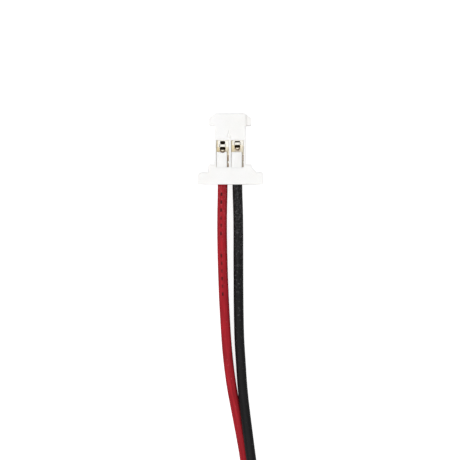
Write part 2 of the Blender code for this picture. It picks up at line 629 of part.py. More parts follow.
def make_label(frame):
    """Plain label on the cell's top face."""
    size_x, size_y, size_z = LABEL_SIZE
    label = rounded_shell("plain_label", centred(0.0, size_x), (0.0, size_y), (0.0, size_z), LABEL_RADIUS,
                          size_z / 4, "paper_label")
    place(label, frame, (0.0, PACK_REAR + LABEL_BACK, PACK_THICKNESS + TOUCH_GAP))


def curve_point(points, index, share):
    """Return a point of the Catmull-Rom curve through the points."""
    before = points[max(index - 1, 0)]
    start = points[index]
    end = points[index + 1]
    after = points[min(index + 2, len(points) - 1)]
    slope_in = (end - before) / 2
    slope_out = (after - start) / 2
    square = share * share
    cube = square * share
    return (start * (2 * cube - 3 * square + 1) + slope_in * (cube - 2 * square + share)
            + end * (3 * square - 2 * cube) + slope_out * (cube - square))


def even_points(route, spacing):
    """Read points at an even spacing from the smooth curve through a route."""
    points = [Vector(point) for point in route]
    fine = [curve_point(points, index, step / 20) for index in range(len(points) - 1) for step in range(20)]
    fine.append(points[-1])
    lengths = [0.0]
    for first, second in zip(fine, fine[1:]):
        lengths.append(lengths[-1] + (second - first).length)
    count = round(lengths[-1] / spacing)
    result = []
    cursor = 0
    for index in range(count + 1):
        wanted = lengths[-1] * index / count
        while cursor < len(lengths) - 2 and lengths[cursor + 1] < wanted:
            cursor += 1
        share = (wanted - lengths[cursor]) / (lengths[cursor + 1] - lengths[cursor])
        result.append(fine[cursor].lerp(fine[cursor + 1], share))
    return result


def make_lead(name, route, material):
    """One insulated lead as a tube along its route."""
    curve = bpy.data.curves.new(name, "CURVE")
    curve.dimensions = "3D"
    curve.bevel_depth = LEAD_RADIUS
    curve.bevel_resolution = 2
    curve.use_fill_caps = True
    points = even_points(route, LEAD_STEP)
    spline = curve.splines.new("POLY")
    spline.points.add(len(points) - 1)
    for target, point in zip(spline.points, points):
        target.co = (*point, 1.0)
    spline.use_smooth = True
    link(name, curve, material)


def housing_outline():
    """Plan of the plug housing, anticlockwise from the left of the wire side."""
    flange = FLANGE_WIDTH / 2
    step = STEP_WIDTH / 2
    body = BODY_WIDTH / 2
    ear = EAR_WIDTH / 2
    ear_start = PLUG_LENGTH - EAR_LENGTH
    return [
        (-flange, 0), (flange, 0), (flange, FLANGE_LENGTH - FLANGE_RIGHT_CHAMFER),
        (flange - FLANGE_RIGHT_CHAMFER, FLANGE_LENGTH), (step + STEP_GUSSET, FLANGE_LENGTH),
        (step, FLANGE_LENGTH + STEP_GUSSET), (step, STEP_END), (body, STEP_END), (body, ear_start),
        (ear, ear_start), (ear, PLUG_LENGTH - EAR_CHAMFER), (ear - EAR_CHAMFER_WIDTH, PLUG_LENGTH),
        (-ear + EAR_CHAMFER_WIDTH, PLUG_LENGTH), (-ear, PLUG_LENGTH - EAR_CHAMFER), (-ear, ear_start),
        (-body, ear_start), (-body, STEP_END), (-step, STEP_END), (-step, FLANGE_LENGTH),
        (-flange + FLANGE_LEFT_CHAMFER, FLANGE_LENGTH), (-flange, FLANGE_LENGTH - FLANGE_LEFT_CHAMFER),
    ]


def make_pin_entry(middle):
    """Cutter for one mating hole, wider at its mouth."""
    shape = bmesh.new()
    rows = []
    mouth = PIN_ENTRY / 2 + PIN_ENTRY_CHAMFER
    stations = [(CAVITY_END - LOOSE_GAP, PIN_ENTRY / 2), (PLUG_LENGTH - PIN_ENTRY_CHAMFER, PIN_ENTRY / 2),
                (PLUG_LENGTH + LOOSE_GAP, mouth + LOOSE_GAP)]
    for y, half in stations:
        rows.append([shape.verts.new((middle + x * half, y, CAVITY_Z + z * half))
                     for x, z in ((-1, -1), (1, -1), (1, 1), (-1, 1))])
    for first, second in zip(rows, rows[1:]):
        for index in range(4):
            following = (index + 1) % 4
            shape.faces.new((first[index], first[following], second[following], second[index]))
    shape.faces.new(rows[0])
    shape.faces.new(rows[-1])
    return from_bmesh("pin_entry", shape)


def make_housing(frame):
    """Plug housing with two contact cavities, their windows and mating holes."""
    housing = plan_prism("connector_housing", housing_outline(), (PLUG_REST, PLUG_TOP), "white_nylon")
    round_edges(housing, MOULD_RADIUS, 2, 25.0)
    apply_modifiers(housing)
    for side in (-1, 1):
        middle = side * CONTACT_PITCH / 2
        cavity = box("cavity", centred(middle, CAVITY_WIDTH), (-LOOSE_GAP, CAVITY_END),
                     centred(CAVITY_Z, CAVITY_HEIGHT))
        boolean(housing, cavity, "DIFFERENCE")
        window = box("window", centred(middle, WINDOW_WIDTH), (WINDOW_START, WINDOW_END),
                     (CAVITY_Z, PLUG_TOP + LOOSE_GAP))
        boolean(housing, window, "DIFFERENCE")
        boolean(housing, make_pin_entry(middle), "DIFFERENCE")
    half = DIMPLE_WIDTH / 2
    dimple = plan_prism("dimple", [(DIMPLE_SHIFT - half, DIMPLE_START), (DIMPLE_SHIFT + half, DIMPLE_START),
                                   (DIMPLE_SHIFT, DIMPLE_START + DIMPLE_LENGTH)],
                        (PLUG_TOP - DIMPLE_DEPTH, PLUG_TOP + DIMPLE_DEPTH))
    boolean(housing, dimple, "DIFFERENCE")
    recess = box("recess", centred(0.0, BODY_WIDTH - 2 * UNDERCUT_MARGIN),
                 (STEP_END + UNDERCUT_MARGIN, PLUG_LENGTH - EAR_LENGTH - UNDERCUT_MARGIN),
                 (-PLUG_HEIGHT, PLUG_REST + UNDERCUT_DEPTH))
    boolean(housing, recess, "DIFFERENCE")
    smooth(housing, 25.0)
    place(housing, frame)


def make_tang(frame, pole, side):
    """Springy tongue in one window, with its origin on the line it bends about."""
    half = TANG_THICKNESS / 2
    tip = TANG_LENGTH - half
    outline = arc((0, 0), half, 90, 270, ARC_STEPS)
    outline += [(tip, -half), (tip, half - TANG_RECESS), (tip - TANG_RECESS, half)]
    tang = section_prism(pole + "_locking_tang", outline, centred(0.0, TANG_WIDTH), "white_nylon")
    hook_low = -half - TANG_HOOK_DROP
    hook_outline = [(tip - TANG_HOOK_LENGTH, -half + LOOSE_GAP / 2), (tip - TANG_HOOK_LENGTH / 2, hook_low),
                    (tip - TANG_RECESS, hook_low), (tip - TANG_RECESS, -half + LOOSE_GAP / 2)]
    hook = section_prism("hook", hook_outline, centred(0.0, TANG_HOOK_WIDTH))
    boolean(tang, hook, "UNION")
    smooth(tang)
    place(tang, frame, (side * CONTACT_PITCH / 2 + TANG_SHIFT, TANG_AXIS_Y, TANG_TOP - half))


def make_contact(frame, pole, side):
    """Crimp contact: mating box, locking hole, strap, wire crimp and insulation crimp."""
    half = CONTACT_WIDTH / 2
    floor_top = CONTACT_BOTTOM + CONTACT_SHEET
    box_end = CAVITY_END - LOOSE_GAP
    contact = box(pole + "_contact", (-half, half), (CHANNEL_START, box_end), (CONTACT_BOTTOM, CONTACT_TOP),
                  "contact_bronze")
    inner_half = half - CONTACT_SHEET
    inside = box("inside", (-inner_half, inner_half), (-box_end, 2 * box_end),
                 (floor_top, CONTACT_TOP - CONTACT_SHEET))
    boolean(contact, inside, "DIFFERENCE")
    trough = box("trough", (-inner_half + TOUCH_GAP, inner_half - TOUCH_GAP), (-box_end, LOCK_HOLE_START),
                 (CAVITY_Z, 2 * CONTACT_TOP))
    boolean(contact, trough, "DIFFERENCE")
    lock = box("lock", centred(0.0, LOCK_HOLE_WIDTH), (LOCK_HOLE_START - LOOSE_GAP, LOCK_HOLE_END),
               (CAVITY_Z, 2 * CONTACT_TOP))
    boolean(contact, lock, "DIFFERENCE")
    front = box("front", centred(0.0, FRONT_HOLE_WIDTH), (STRAP_END, FRONT_HOLE_END),
                (CAVITY_Z, 2 * CONTACT_TOP))
    boolean(contact, front, "DIFFERENCE")
    strap_radius = (STRAP_END - LOCK_HOLE_END) / 2 + TOUCH_GAP
    strap_half = LOCK_HOLE_WIDTH / 2 + LOOSE_GAP / 2
    strap_place = ((LOCK_HOLE_END + STRAP_END) / 2, CONTACT_TOP + STRAP_BULGE - strap_radius)
    strap = rod("strap", strap_radius, (-strap_half, *strap_place), (strap_half, *strap_place))
    boolean(contact, strap, "UNION")
    wire_radius = STRAND_DIAMETER / 2 + TOUCH_GAP
    crimp = rod("crimp", wire_radius + CRIMP_WALL, (0, WIRE_CRIMP_START, CAVITY_Z),
                (0, WIRE_CRIMP_END, CAVITY_Z))
    boolean(contact, crimp, "UNION")
    web = box("web", centred(0.0, wire_radius), (WIRE_CRIMP_START + TOUCH_GAP, WIRE_CRIMP_END - TOUCH_GAP),
              (CONTACT_BOTTOM + CONTACT_SHEET / 2, CAVITY_Z - wire_radius))
    boolean(contact, web, "UNION")
    bore = rod("bore", wire_radius, (0, -box_end, CAVITY_Z), (0, LOCK_HOLE_START, CAVITY_Z))
    boolean(contact, bore, "DIFFERENCE")
    sleeve_inner = LEAD_RADIUS + TOUCH_GAP
    sleeve = rod("sleeve", half - TOUCH_GAP / 2, (0, INSULATION_CRIMP_START, CAVITY_Z),
                 (0, INSULATION_CRIMP_END, CAVITY_Z), segments=SLEEVE_SIDES)
    floor = box("floor", centred(0.0, half), (INSULATION_CRIMP_START + LOOSE_GAP, CHANNEL_START + LOOSE_GAP),
                (CONTACT_BOTTOM, CAVITY_Z - sleeve_inner + TOUCH_GAP))
    boolean(sleeve, floor, "UNION")
    hollow = rod("hollow", sleeve_inner, (0, -box_end, CAVITY_Z), (0, LEAD_PLUG_LENGTH + TOUCH_GAP, CAVITY_Z),
                 segments=SLEEVE_SIDES)
    boolean(sleeve, hollow, "DIFFERENCE")
    opening = box("opening", (-CAVITY_WIDTH, CAVITY_WIDTH), (-box_end, INSULATION_CRIMP_END + TOUCH_GAP),
                  (CAVITY_Z + LEAD_RADIUS / 2, 2 * CONTACT_TOP))
    boolean(sleeve, opening, "DIFFERENCE")
    boolean(contact, sleeve, "UNION")
    smooth(contact)
    place(contact, frame, (side * CONTACT_PITCH / 2, 0.0, 0.0))


def make_plug_strands(frame, pole, side):
    """Bared strands inside one wire crimp."""
    start = LEAD_PLUG_LENGTH + TOUCH_GAP
    strands = rod(pole + "_crimp_strands", STRAND_DIAMETER / 2, (0, start, 0),
                  (0, WIRE_CRIMP_END + LOOSE_GAP / 2, 0), "tinned_copper")
    place(smooth(strands), frame, (side * CONTACT_PITCH / 2, 0.0, CAVITY_Z))


def make_frame(name, location):
    """Empty that a group of pieces is placed under."""
    frame = bpy.data.objects.new(name, None)
    bpy.context.scene.collection.objects.link(frame)
    frame.location = location
    return frame


def main():
    """Build the pack, the leads and the plug."""
    clear_scene()
    pack = make_frame("pack_frame", (0.0, 0.0, 0.0))
    make_pouch_cup(pack)
    make_pouch_cover(pack)
    make_winding(pack)
    make_tabs(pack)
    make_board(pack)
    make_chip(pack, "protection_chip", -CHIP_OFFSET)
    make_chip(pack, "switch_transistor", CHIP_OFFSET)
    make_passives(pack)
    make_solder_joints(pack)
    make_head_tape(pack)
    make_label(pack)
    make_lead("red_lead", RED_ROUTE, "red_insulation")
    make_lead("black_lead", BLACK_ROUTE, "black_insulation")
    plug = make_frame("plug_frame", (PLUG_X, PLUG_Y, 0.0))
    make_housing(plug)
    for side, pole in ((-1, "positive"), (1, "negative")):
        make_contact(plug, pole, side)
        make_tang(plug, pole, side)
        make_plug_strands(plug, pole, side)


main()
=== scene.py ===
"""Looks of a small lithium-polymer pouch pack with two thin leads and a two-way crimp plug.

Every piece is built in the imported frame, in metres: +Y runs from the pack to the plug, and Z = 0 is the
surface that the object lies on.
"""

import sys
import logging
import math
from dataclasses import dataclass
from enum import Enum
from typing import Any, Callable, Iterable, Sequence

import bmesh
import bpy
from mathutils import Matrix, Vector, noise


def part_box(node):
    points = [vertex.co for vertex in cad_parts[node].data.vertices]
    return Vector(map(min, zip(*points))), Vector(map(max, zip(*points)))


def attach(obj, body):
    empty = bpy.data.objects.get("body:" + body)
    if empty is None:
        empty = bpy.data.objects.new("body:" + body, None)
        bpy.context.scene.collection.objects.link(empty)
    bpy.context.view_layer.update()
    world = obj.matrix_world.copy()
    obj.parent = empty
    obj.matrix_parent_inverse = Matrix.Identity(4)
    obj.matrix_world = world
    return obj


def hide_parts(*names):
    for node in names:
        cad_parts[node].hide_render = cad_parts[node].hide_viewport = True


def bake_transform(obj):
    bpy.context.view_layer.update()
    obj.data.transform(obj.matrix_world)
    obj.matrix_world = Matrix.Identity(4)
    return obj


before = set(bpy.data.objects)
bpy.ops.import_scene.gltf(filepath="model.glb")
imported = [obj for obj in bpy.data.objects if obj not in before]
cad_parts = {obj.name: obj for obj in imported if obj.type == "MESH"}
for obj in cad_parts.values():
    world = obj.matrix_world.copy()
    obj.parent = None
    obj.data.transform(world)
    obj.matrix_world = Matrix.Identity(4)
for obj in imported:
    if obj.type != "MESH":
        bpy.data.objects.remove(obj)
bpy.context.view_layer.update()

LOG = logging.getLogger("pack")
MM = 0.001
Point = tuple[float, float, float]
Pair = tuple[float, float]


class Way(Enum):
    """Axis that a shape is drawn out along, as the order its (along, a, b) takes in x, y and z."""

    X = (0, 1, 2)
    Y = (1, 0, 2)
    Z = (1, 2, 0)

    def point(self, along: float, a: float, b: float) -> Vector:
        """Turns a place along the axis and two across it into x, y and z."""
        values = (along, a, b)
        return Vector(tuple(values[index] for index in self.value))


# ---------------------------------------------------------------------------------------------- nodes


def add_node(tree: bpy.types.NodeTree, kind: str, inputs: dict[Any, Any] | None = None,
             **settings: Any) -> bpy.types.Node:
    """Adds one node with its settings and links.

    Args:
        tree: The tree it goes in.
        kind: The node's type name.
        inputs: Values or other nodes' outputs, by the input's name or number.
        settings: The node's own properties.

    Returns:
        The new node.
    """
    node = tree.nodes.new(kind)
    for name, value in settings.items():
        setattr(node, name, value)
    for key, value in (inputs or {}).items():
        if isinstance(value, bpy.types.NodeSocket):
            tree.links.new(value, node.inputs[key])
        else:
            node.inputs[key].default_value = value
    return node


def linear(code: str) -> tuple[float, float, float, float]:
    """Turns an sRGB hex colour into linear RGBA.

    Args:
        code: Six hex digits.

    Returns:
        Red, green, blue and alpha.
    """
    parts = [int(code[place:place + 2], 16) / 255 for place in (0, 2, 4)]
    red, green, blue = (part / 12.92 if part <= 0.04045 else ((part + 0.055) / 1.055) ** 2.4
                        for part in parts)
    return (red, green, blue, 1.0)


def per_size(size_mm: float) -> float:
    """Returns a texture's scale, in turns per metre, for features of a size in millimetres."""
    return 1.0 / (size_mm * MM)


def worked(tree: bpy.types.NodeTree, operation: str, *values: Any) -> bpy.types.NodeSocket:
    """Adds one sum to a tree.

    Args:
        tree: The tree it goes in.
        operation: The kind of sum.
        values: Its numbers, or other nodes' outputs.

    Returns:
        The result.
    """
    return add_node(tree, "ShaderNodeMath", dict(enumerate(values)), operation=operation).outputs[0]


def clouds(tree: bpy.types.NodeTree, place: bpy.types.NodeSocket, scale: float, detail: float,
           roughness: float = 0.5, distortion: float = 0.0) -> bpy.types.NodeSocket:
    """Adds soft noise to a tree.

    Args:
        tree: The tree it goes in.
        place: Its coordinates.
        scale: How many turns it makes in one of their units.
        detail: How many finer layers it has.
        roughness: How strong the finer layers are.
        distortion: How far it is swirled.

    Returns:
        The noise, from 0 to 1.
    """
    return add_node(tree, "ShaderNodeTexNoise", {
        "Vector": place, "Scale": scale, "Detail": detail, "Roughness": roughness,
        "Distortion": distortion}).outputs["Fac"]


def ranged(tree: bpy.types.NodeTree, value: bpy.types.NodeSocket, old: tuple[Any, Any],
           new: tuple[Any, Any] = (0.0, 1.0)) -> bpy.types.NodeSocket:
    """Stretches a value from one range to another, and stops it at the ends.

    Args:
        tree: The tree it goes in.
        value: What is stretched.
        old: The range that it comes in.
        new: The range that it leaves in.

    Returns:
        The stretched value.
    """
    return add_node(tree, "ShaderNodeMapRange", {
        "Value": value, "From Min": old[0], "From Max": old[1], "To Min": new[0],
        "To Max": new[1]}).outputs["Result"]


def mixed(tree: bpy.types.NodeTree, share: Any, first: Any, second: Any) -> bpy.types.NodeSocket:
    """Mixes two colours.

    Args:
        tree: The tree it goes in.
        share: How much there is of the second, from 0 to 1.
        first: The first colour.
        second: The second colour.

    Returns:
        The mixed colour.
    """
    return add_node(tree, "ShaderNodeMix", {0: share, 6: first, 7: second}, data_type="RGBA").outputs[2]


# ------------------------------------------------------------------------------------------- finishes


@dataclass(frozen=True)
class Finish:
    """A surface's real material and how it was made.

    The second colour and the grain give the small unevenness that every made surface has.
    """

    name: str
    colour: str
    second: str
    roughness: float
    grain_mm: float
    depth_mm: float
    blotch_mm: float = 3.0
    metallic: float = 0.0
    ior: float = 1.5
    uneven: float = 0.12

    def sockets(self) -> dict[str, Any]:
        """Returns the shader's uniform values, which a finish adds to."""
        return {"Metallic": self.metallic} if self.metallic else {"IOR": self.ior}

    def material(self) -> bpy.types.Material:
        """Builds the material once, and returns it from then on.

        Returns:
            The material.
        """
        made = bpy.data.materials.get(self.name)
        if made:
            return made
        made = bpy.data.materials.new(self.name)
        made.use_nodes = True
        tree = made.node_tree
        tree.nodes.clear()
        shader = add_node(tree, "ShaderNodeBsdfPrincipled", self.sockets())
        add_node(tree, "ShaderNodeOutputMaterial", {"Surface": shader.outputs["BSDF"]})
        self.dress(tree, shader, add_node(tree, "ShaderNodeTexCoord").outputs["Object"])
        made.diffuse_color = linear(self.colour)
        return made

    def dress(self, tree: bpy.types.NodeTree, shader: bpy.types.Node, place: bpy.types.NodeSocket) -> None:
        """Adds the grain, the colour's drift and the uneven gloss.

        Args:
            tree: The material's nodes.
            shader: Its surface shader.
            place: Object coordinates.
        """
        colour, height = self.colours(tree, place), self.relief(tree, place)
        tree.links.new(colour, shader.inputs["Base Color"])
        limits = (self.roughness - self.uneven, self.roughness + self.uneven)
        tree.links.new(ranged(tree, height, (0.0, 1.0), limits), shader.inputs["Roughness"])
        bump = add_node(tree, "ShaderNodeBump", {
            "Height": height, "Strength": 1.0, "Distance": self.depth_mm * MM})
        tree.links.new(bump.outputs["Normal"], shader.inputs["Normal"])

    def colours(self, tree: bpy.types.NodeTree, place: bpy.types.NodeSocket) -> bpy.types.NodeSocket:
        """Drifts the colour between the first and the second, in wide soft patches.

        Args:
            tree: The material's nodes.
            place: Object coordinates.

        Returns:
            The colour.
        """
        patch = clouds(tree, place, per_size(self.blotch_mm), 4.0, 0.6)
        share = ranged(tree, patch, (0.35, 0.65))
        return mixed(tree, share, linear(self.colour), linear(self.second))

    def relief(self, tree: bpy.types.NodeTree, place: bpy.types.NodeSocket) -> bpy.types.NodeSocket:
        """Returns the height of the fine grain, from 0 to 1.

        Args:
            tree: The material's nodes.
            place: Object coordinates.

        Returns:
            The height.
        """
        return clouds(tree, place, per_size(self.grain_mm), 3.0, 0.65)


@dataclass(frozen=True)
class MouldedNylon(Finish):
    """Natural nylon from a mould: light goes into it, so that walls glow and edges grey softly."""

    depth_of_light_mm: float = 0.20
    light_share: float = 0.65
    reach_by_colour: Point = (1.0, 0.97, 0.94)
    gloss: float = 0.45

    def sockets(self) -> dict[str, Any]:
        """Lets light into the plastic.

        Returns:
            The shader's uniform values.
        """
        light = {"Subsurface Weight": self.light_share, "Subsurface Scale": self.depth_of_light_mm * MM}
        return {**super().sockets(), **light, "Subsurface Radius": self.reach_by_colour,
                "Specular IOR Level": self.gloss}


@dataclass(frozen=True)
class ExtrudedInsulation(Finish):
    """Soft insulation drawn over its wire: matt, and faintly streaked along the lead.

    Rows of plain dashes are printed along it, in pairs, and dust lies in its grain.
    """

    ink: str = "1A1416"
    ink_share: float = 0.0
    first_dash_mm: float = 31.8
    dash_pitch_mm: float = 0.66
    dash_share: float = 0.45
    dash_half_width_mm: float = 0.075
    dash_side_mm: float = 0.09
    row_mm: float = 3.9
    row_step_mm: float = 5.2
    pair_pitch_mm: float = 30.0
    worn_ink_mm: float = 0.6
    streaks_per_mm: Point = (7.0, 0.35, 1.0)
    streak_shade: Pair = (0.74, 1.22)
    dust_mm: float = 0.20
    fleck: str = "8C8A8C"
    fleck_share: float = 0.5
    fleck_full: float = 0.82
    gloss: float = 0.30
    scuffed_mm: Pair = (33.0, 41.0)
    scuffed_from: Pair = (0.66, 0.47)

    def sockets(self) -> dict[str, Any]:
        """Keeps the gloss of the soft plastic low."""
        return {**super().sockets(), "Specular IOR Level": self.gloss}

    def colours(self, tree: bpy.types.NodeTree, place: bpy.types.NodeSocket) -> bpy.types.NodeSocket:
        """Adds streaks along the lead, dust in the grain and the printed dashes to the drifting colour.

        Args:
            tree: The material's nodes.
            place: Object coordinates.

        Returns:
            The colour.
        """
        base = super().colours(tree, place)
        map_node = add_node(tree, "ShaderNodeUVMap", uv_map=Tube.UV_NAME)
        spread = add_node(tree, "ShaderNodeMapping", {
            "Vector": map_node.outputs["UV"], "Scale": self.streaks_per_mm})
        streak = clouds(tree, spread.outputs["Vector"], 1.0, 3.0)
        shade = ranged(tree, streak, (0.3, 0.7), self.streak_shade)
        streaked = add_node(tree, "ShaderNodeVectorMath", {0: base, "Scale": shade}, operation="SCALE")
        dust = clouds(tree, place, per_size(self.dust_mm), 2.0, 0.8)
        along = add_node(tree, "ShaderNodeSeparateXYZ", {0: map_node.outputs["UV"]}).outputs["Y"]
        scuff = ranged(tree, along, self.scuffed_mm, self.scuffed_from)
        specks = ranged(tree, dust, (scuff, self.fleck_full), (0.0, self.fleck_share))
        dusty = mixed(tree, specks, streaked.outputs["Vector"], linear(self.fleck))
        return mixed(tree, self.dashes(tree, map_node.outputs["UV"]), dusty, linear(self.ink))

    def dashes(self, tree: bpy.types.NodeTree, spot: bpy.types.NodeSocket) -> bpy.types.NodeSocket:
        """Returns where the row of dashes is inked, from millimetres round and along the lead.

        Args:
            tree: The material's nodes.
            spot: Millimetres round and along the lead.

        Returns:
            How much ink there is, from 0 to 1.
        """
        split = add_node(tree, "ShaderNodeSeparateXYZ", {0: spot})
        along = worked(tree, "SUBTRACT", split.outputs["Y"], self.first_dash_mm)
        pair = worked(tree, "FLOORED_MODULO", along, self.pair_pitch_mm)
        in_pair = worked(tree, "LESS_THAN", pair, self.row_step_mm + self.row_mm)
        row = worked(tree, "FLOORED_MODULO", pair, self.row_step_mm)
        in_row = worked(tree, "LESS_THAN", row, self.row_mm)
        step = worked(tree, "FLOORED_MODULO", row, self.dash_pitch_mm)
        in_dash = worked(tree, "LESS_THAN", step, self.dash_pitch_mm * self.dash_share)
        across = worked(tree, "COMPARE", split.outputs["X"], self.dash_side_mm, self.dash_half_width_mm)
        worn = clouds(tree, spot, 1 / self.worn_ink_mm, 1.0)
        inked = ranged(tree, worn, (0.35, 0.6), (self.ink_share / 3, self.ink_share))
        for part in (in_pair, in_row, in_dash, across):
            inked = worked(tree, "MULTIPLY", inked, part)
        return inked


@dataclass(frozen=True)
class RolledMetal(Finish):
    """Thin strip from the rolls: fine lines along one axis, and edges that shine where they were sheared."""

    metallic: float = 1.0
    line_mm: float = 0.05
    length_mm: float = 2.0

    def relief(self, tree: bpy.types.NodeTree, place: bpy.types.NodeSocket) -> bpy.types.NodeSocket:
        """Returns the height of the rolling lines, which run along Y.

        Args:
            tree: The material's nodes.
            place: Object coordinates.

        Returns:
            The height.
        """
        drawn = add_node(tree, "ShaderNodeMapping", {"Vector": place, "Scale": (
            per_size(self.line_mm), per_size(self.length_mm), per_size(self.line_mm))})
        lines = clouds(tree, drawn.outputs["Vector"], 1.0, 2.0)
        pits = clouds(tree, place, per_size(self.grain_mm), 4.0)
        return worked(tree, "MULTIPLY", worked(tree, "ADD", lines, pits), 0.5)


# Undyed nylon from a polished mould: near white and satin, and light sinks a little way in at thin edges.
NATURAL_NYLON = MouldedNylon("natural_nylon_moulded", "F9F8F6", "F4F3F1", 0.38, 0.12, 0.004)
# Soft extruded vinyl: matt dark red with faint draw lines, a few dust specks and a row of faint ink dashes.
RED_PVC = ExtrudedInsulation("red_pvc_extruded", "A5222B", "952028", 0.58, 0.10, 0.012, ink_share=0.8,
                             fleck="BC6A70", fleck_share=0.5, gloss=0.06)
# The same vinyl in black: its gloss and its dust show as dull grey, most of all near the plug.
BLACK_PVC = ExtrudedInsulation("black_pvc_extruded", "0F0E0F", "161517", 0.50, 0.10, 0.012,
                               fleck="777577", fleck_share=0.55, gloss=0.17, scuffed_mm=(24.0, 41.0))
# Rolled spring bronze: pale gold sheet with fine lines along the strip.
PLATED_BRONZE = RolledMetal("phosphor_bronze_rolled", "E0D5B8", "CDBB90", 0.30, 0.08, 0.004)
# The same bronze inside the box, coloured nearly black brown: painted shade that keeps the holes in its top
# dark.
PAINTED_SHADE_BRONZE = RolledMetal("phosphor_bronze_painted_shade", "4A3E2C", "2E271E", 0.50, 0.08, 0.006)
# Bronze squeezed in the press: dull taupe, blotched where the plating broke.
COINED_BRONZE = RolledMetal("phosphor_bronze_coined", "C4B19C", "9A8875", 0.50, 0.06, 0.010,
                            blotch_mm=0.25, uneven=0.3)
# Tin too thin to hide the bronze: pale beige. The same pale tin is also a painted highlight on the floor of
# each contact's stop cup.
THIN_TIN_AND_CUP_HIGHLIGHT = RolledMetal("tin_thin_and_painted_highlight", "EEE7D6", "DDD1B6", 0.38, 0.05, 0.003, blotch_mm=0.4)
# Full tin plate at the mating end: close to a mirror, and warm white.
BRIGHT_TIN = RolledMetal("tin_plated", "E9E6DE", "D8D4CA", 0.22, 0.10, 0.003)
# Tinned copper wire: grey silver, with a warm blush where the tin is thin.
TINNED_WIRE = RolledMetal("copper_wire_tinned", "D6CDBD", "C2A98C", 0.30, 0.05, 0.003)


@dataclass(frozen=True)
class LaminateFoil(Finish):
    """Aluminium foil under clear nylon, drawn in a press: satin silver, dented and finely crackled."""

    metallic: float = 1.0
    dent_mm: float = 1.9

    def sockets(self) -> dict[str, Any]:
        """Adds the clear nylon skin."""
        return {**super().sockets(), "Coat Weight": 0.35, "Coat Roughness": 0.22}

    def relief(self, tree: bpy.types.NodeTree, place: bpy.types.NodeSocket) -> bpy.types.NodeSocket:
        """Returns the height of the dents and of the crackle between them.

        Args:
            tree: The material's nodes.
            place: Object coordinates.

        Returns:
            The height.
        """
        dents = clouds(tree, place, per_size(self.dent_mm), 5.0, 0.55, 0.8)
        crackle = add_node(tree, "ShaderNodeTexVoronoi", {
            "Vector": place, "Scale": per_size(self.grain_mm)}, feature="DISTANCE_TO_EDGE")
        fine = ranged(tree, crackle.outputs["Distance"], (0.0, 0.25), (0.0, 0.12))
        return worked(tree, "ADD", dents, fine)


@dataclass(frozen=True)
class ClearFilm(Finish):
    """Thin clear-coloured film: what is under it shows through, in its colour."""

    alpha: float = 0.6

    def sockets(self) -> dict[str, Any]:
        """Lets the light through, under a glossy face."""
        return {**super().sockets(), "Alpha": self.alpha, "Specular IOR Level": 0.35}


@dataclass(frozen=True)
class PrintedPaper(Finish):
    """Coated paper with a plain printed frame and two bars."""

    ink: str = "6E7276"
    half_size_mm: Pair = (7.0, 7.5)
    middle_mm: Pair = (0.0, -3.5)
    frame_mm: Pair = (0.55, 0.75)
    bars_mm: tuple[Pair, ...] = ((2.2, 0.9), (-2.4, 0.35))
    bar_inset_mm: float = 1.6

    def colours(self, tree: bpy.types.NodeTree, place: bpy.types.NodeSocket) -> bpy.types.NodeSocket:
        """Prints the frame and the bars over the paper's own colour.

        Args:
            tree: The material's nodes.
            place: Object coordinates.

        Returns:
            The colour.
        """
        paper = super().colours(tree, place)
        centred = add_node(tree, "ShaderNodeMapping", {
            "Vector": place, "Scale": (1 / MM, 1 / MM, 1 / MM),
            "Location": (-self.middle_mm[0], -self.middle_mm[1], 0.0)})
        spot = add_node(tree, "ShaderNodeSeparateXYZ", {0: centred.outputs["Vector"]})
        gaps = []
        for axis, half in zip("XY", self.half_size_mm):
            size = worked(tree, "ABSOLUTE", spot.outputs[axis])
            gaps.append(worked(tree, "SUBTRACT", half, size))
        edge = worked(tree, "MINIMUM", gaps[0], gaps[1])
        near, far = self.frame_mm
        inked = worked(tree, "COMPARE", edge, (near + far) / 2, (far - near) / 2)
        inside = worked(tree, "GREATER_THAN", gaps[0], self.bar_inset_mm)
        for middle, half in self.bars_mm:
            bar = worked(tree, "COMPARE", spot.outputs["Y"], middle, half)
            short = worked(tree, "MULTIPLY", bar, inside)
            inked = worked(tree, "MAXIMUM", inked, short)
        return mixed(tree, inked, paper, linear(self.ink))


# Aluminium laminate drawn into a cup: satin silver with soft dents and a crackle under clear nylon.
POUCH_FOIL = LaminateFoil("aluminium_laminate_drawn", "C4C6CA", "B4B7BC", 0.34, 0.35, 0.05, blotch_mm=5.0)
# Polyimide tape: glossy amber film, and what lies under it shows through.
AMBER_FILM = ClearFilm("polyimide_film_cast", "C97A12", "C0710E", 0.26, 1.2, 0.0015, blotch_mm=4.0, ior=1.6,
                       alpha=0.52)
# Coated label stock: warm white and matt, with a plain frame and two bars in grey ink.
LABEL_PAPER = PrintedPaper("coated_paper_pressed", "F2F0EA", "EBE9E2", 0.62, 0.08, 0.010, uneven=0.06)
# Glass epoxy under solder mask: semi-gloss green with a faint weave-sized unevenness.
BOARD_MASK = Finish("glass_epoxy_masked", "1F6B3A", "175530", 0.36, 0.12, 0.006, blotch_mm=1.4)
# Moulded epoxy: charcoal, matt, with a fine filler grain.
MARKED_RESIN = Finish("epoxy_resin_moulded", "1E1E20", "262628", 0.58, 0.06, 0.008)
# Thick-film resistor: glossy black overglaze on its ceramic.
GLASSED_CERAMIC = Finish("alumina_glass_fired", "17171B", "202026", 0.30, 0.10, 0.003)
# Fired capacitor ceramic: tan and slightly waxy.
BARIUM_CERAMIC = Finish("barium_titanate_fired", "A98358", "987248", 0.48, 0.07, 0.006)
# Reflowed solder: bright silver, with a frosted skin where it froze.
TIN_SOLDER = Finish("tin_solder_reflowed", "D9DADB", "C3C5C8", 0.24, 0.22, 0.010, metallic=1.0)
# Rolled nickel: warm silver with fine lines along the strip.
NICKEL_STRIP = RolledMetal("nickel_strip_rolled", "CFCBC0", "BDB8AB", 0.30, 0.10, 0.005)
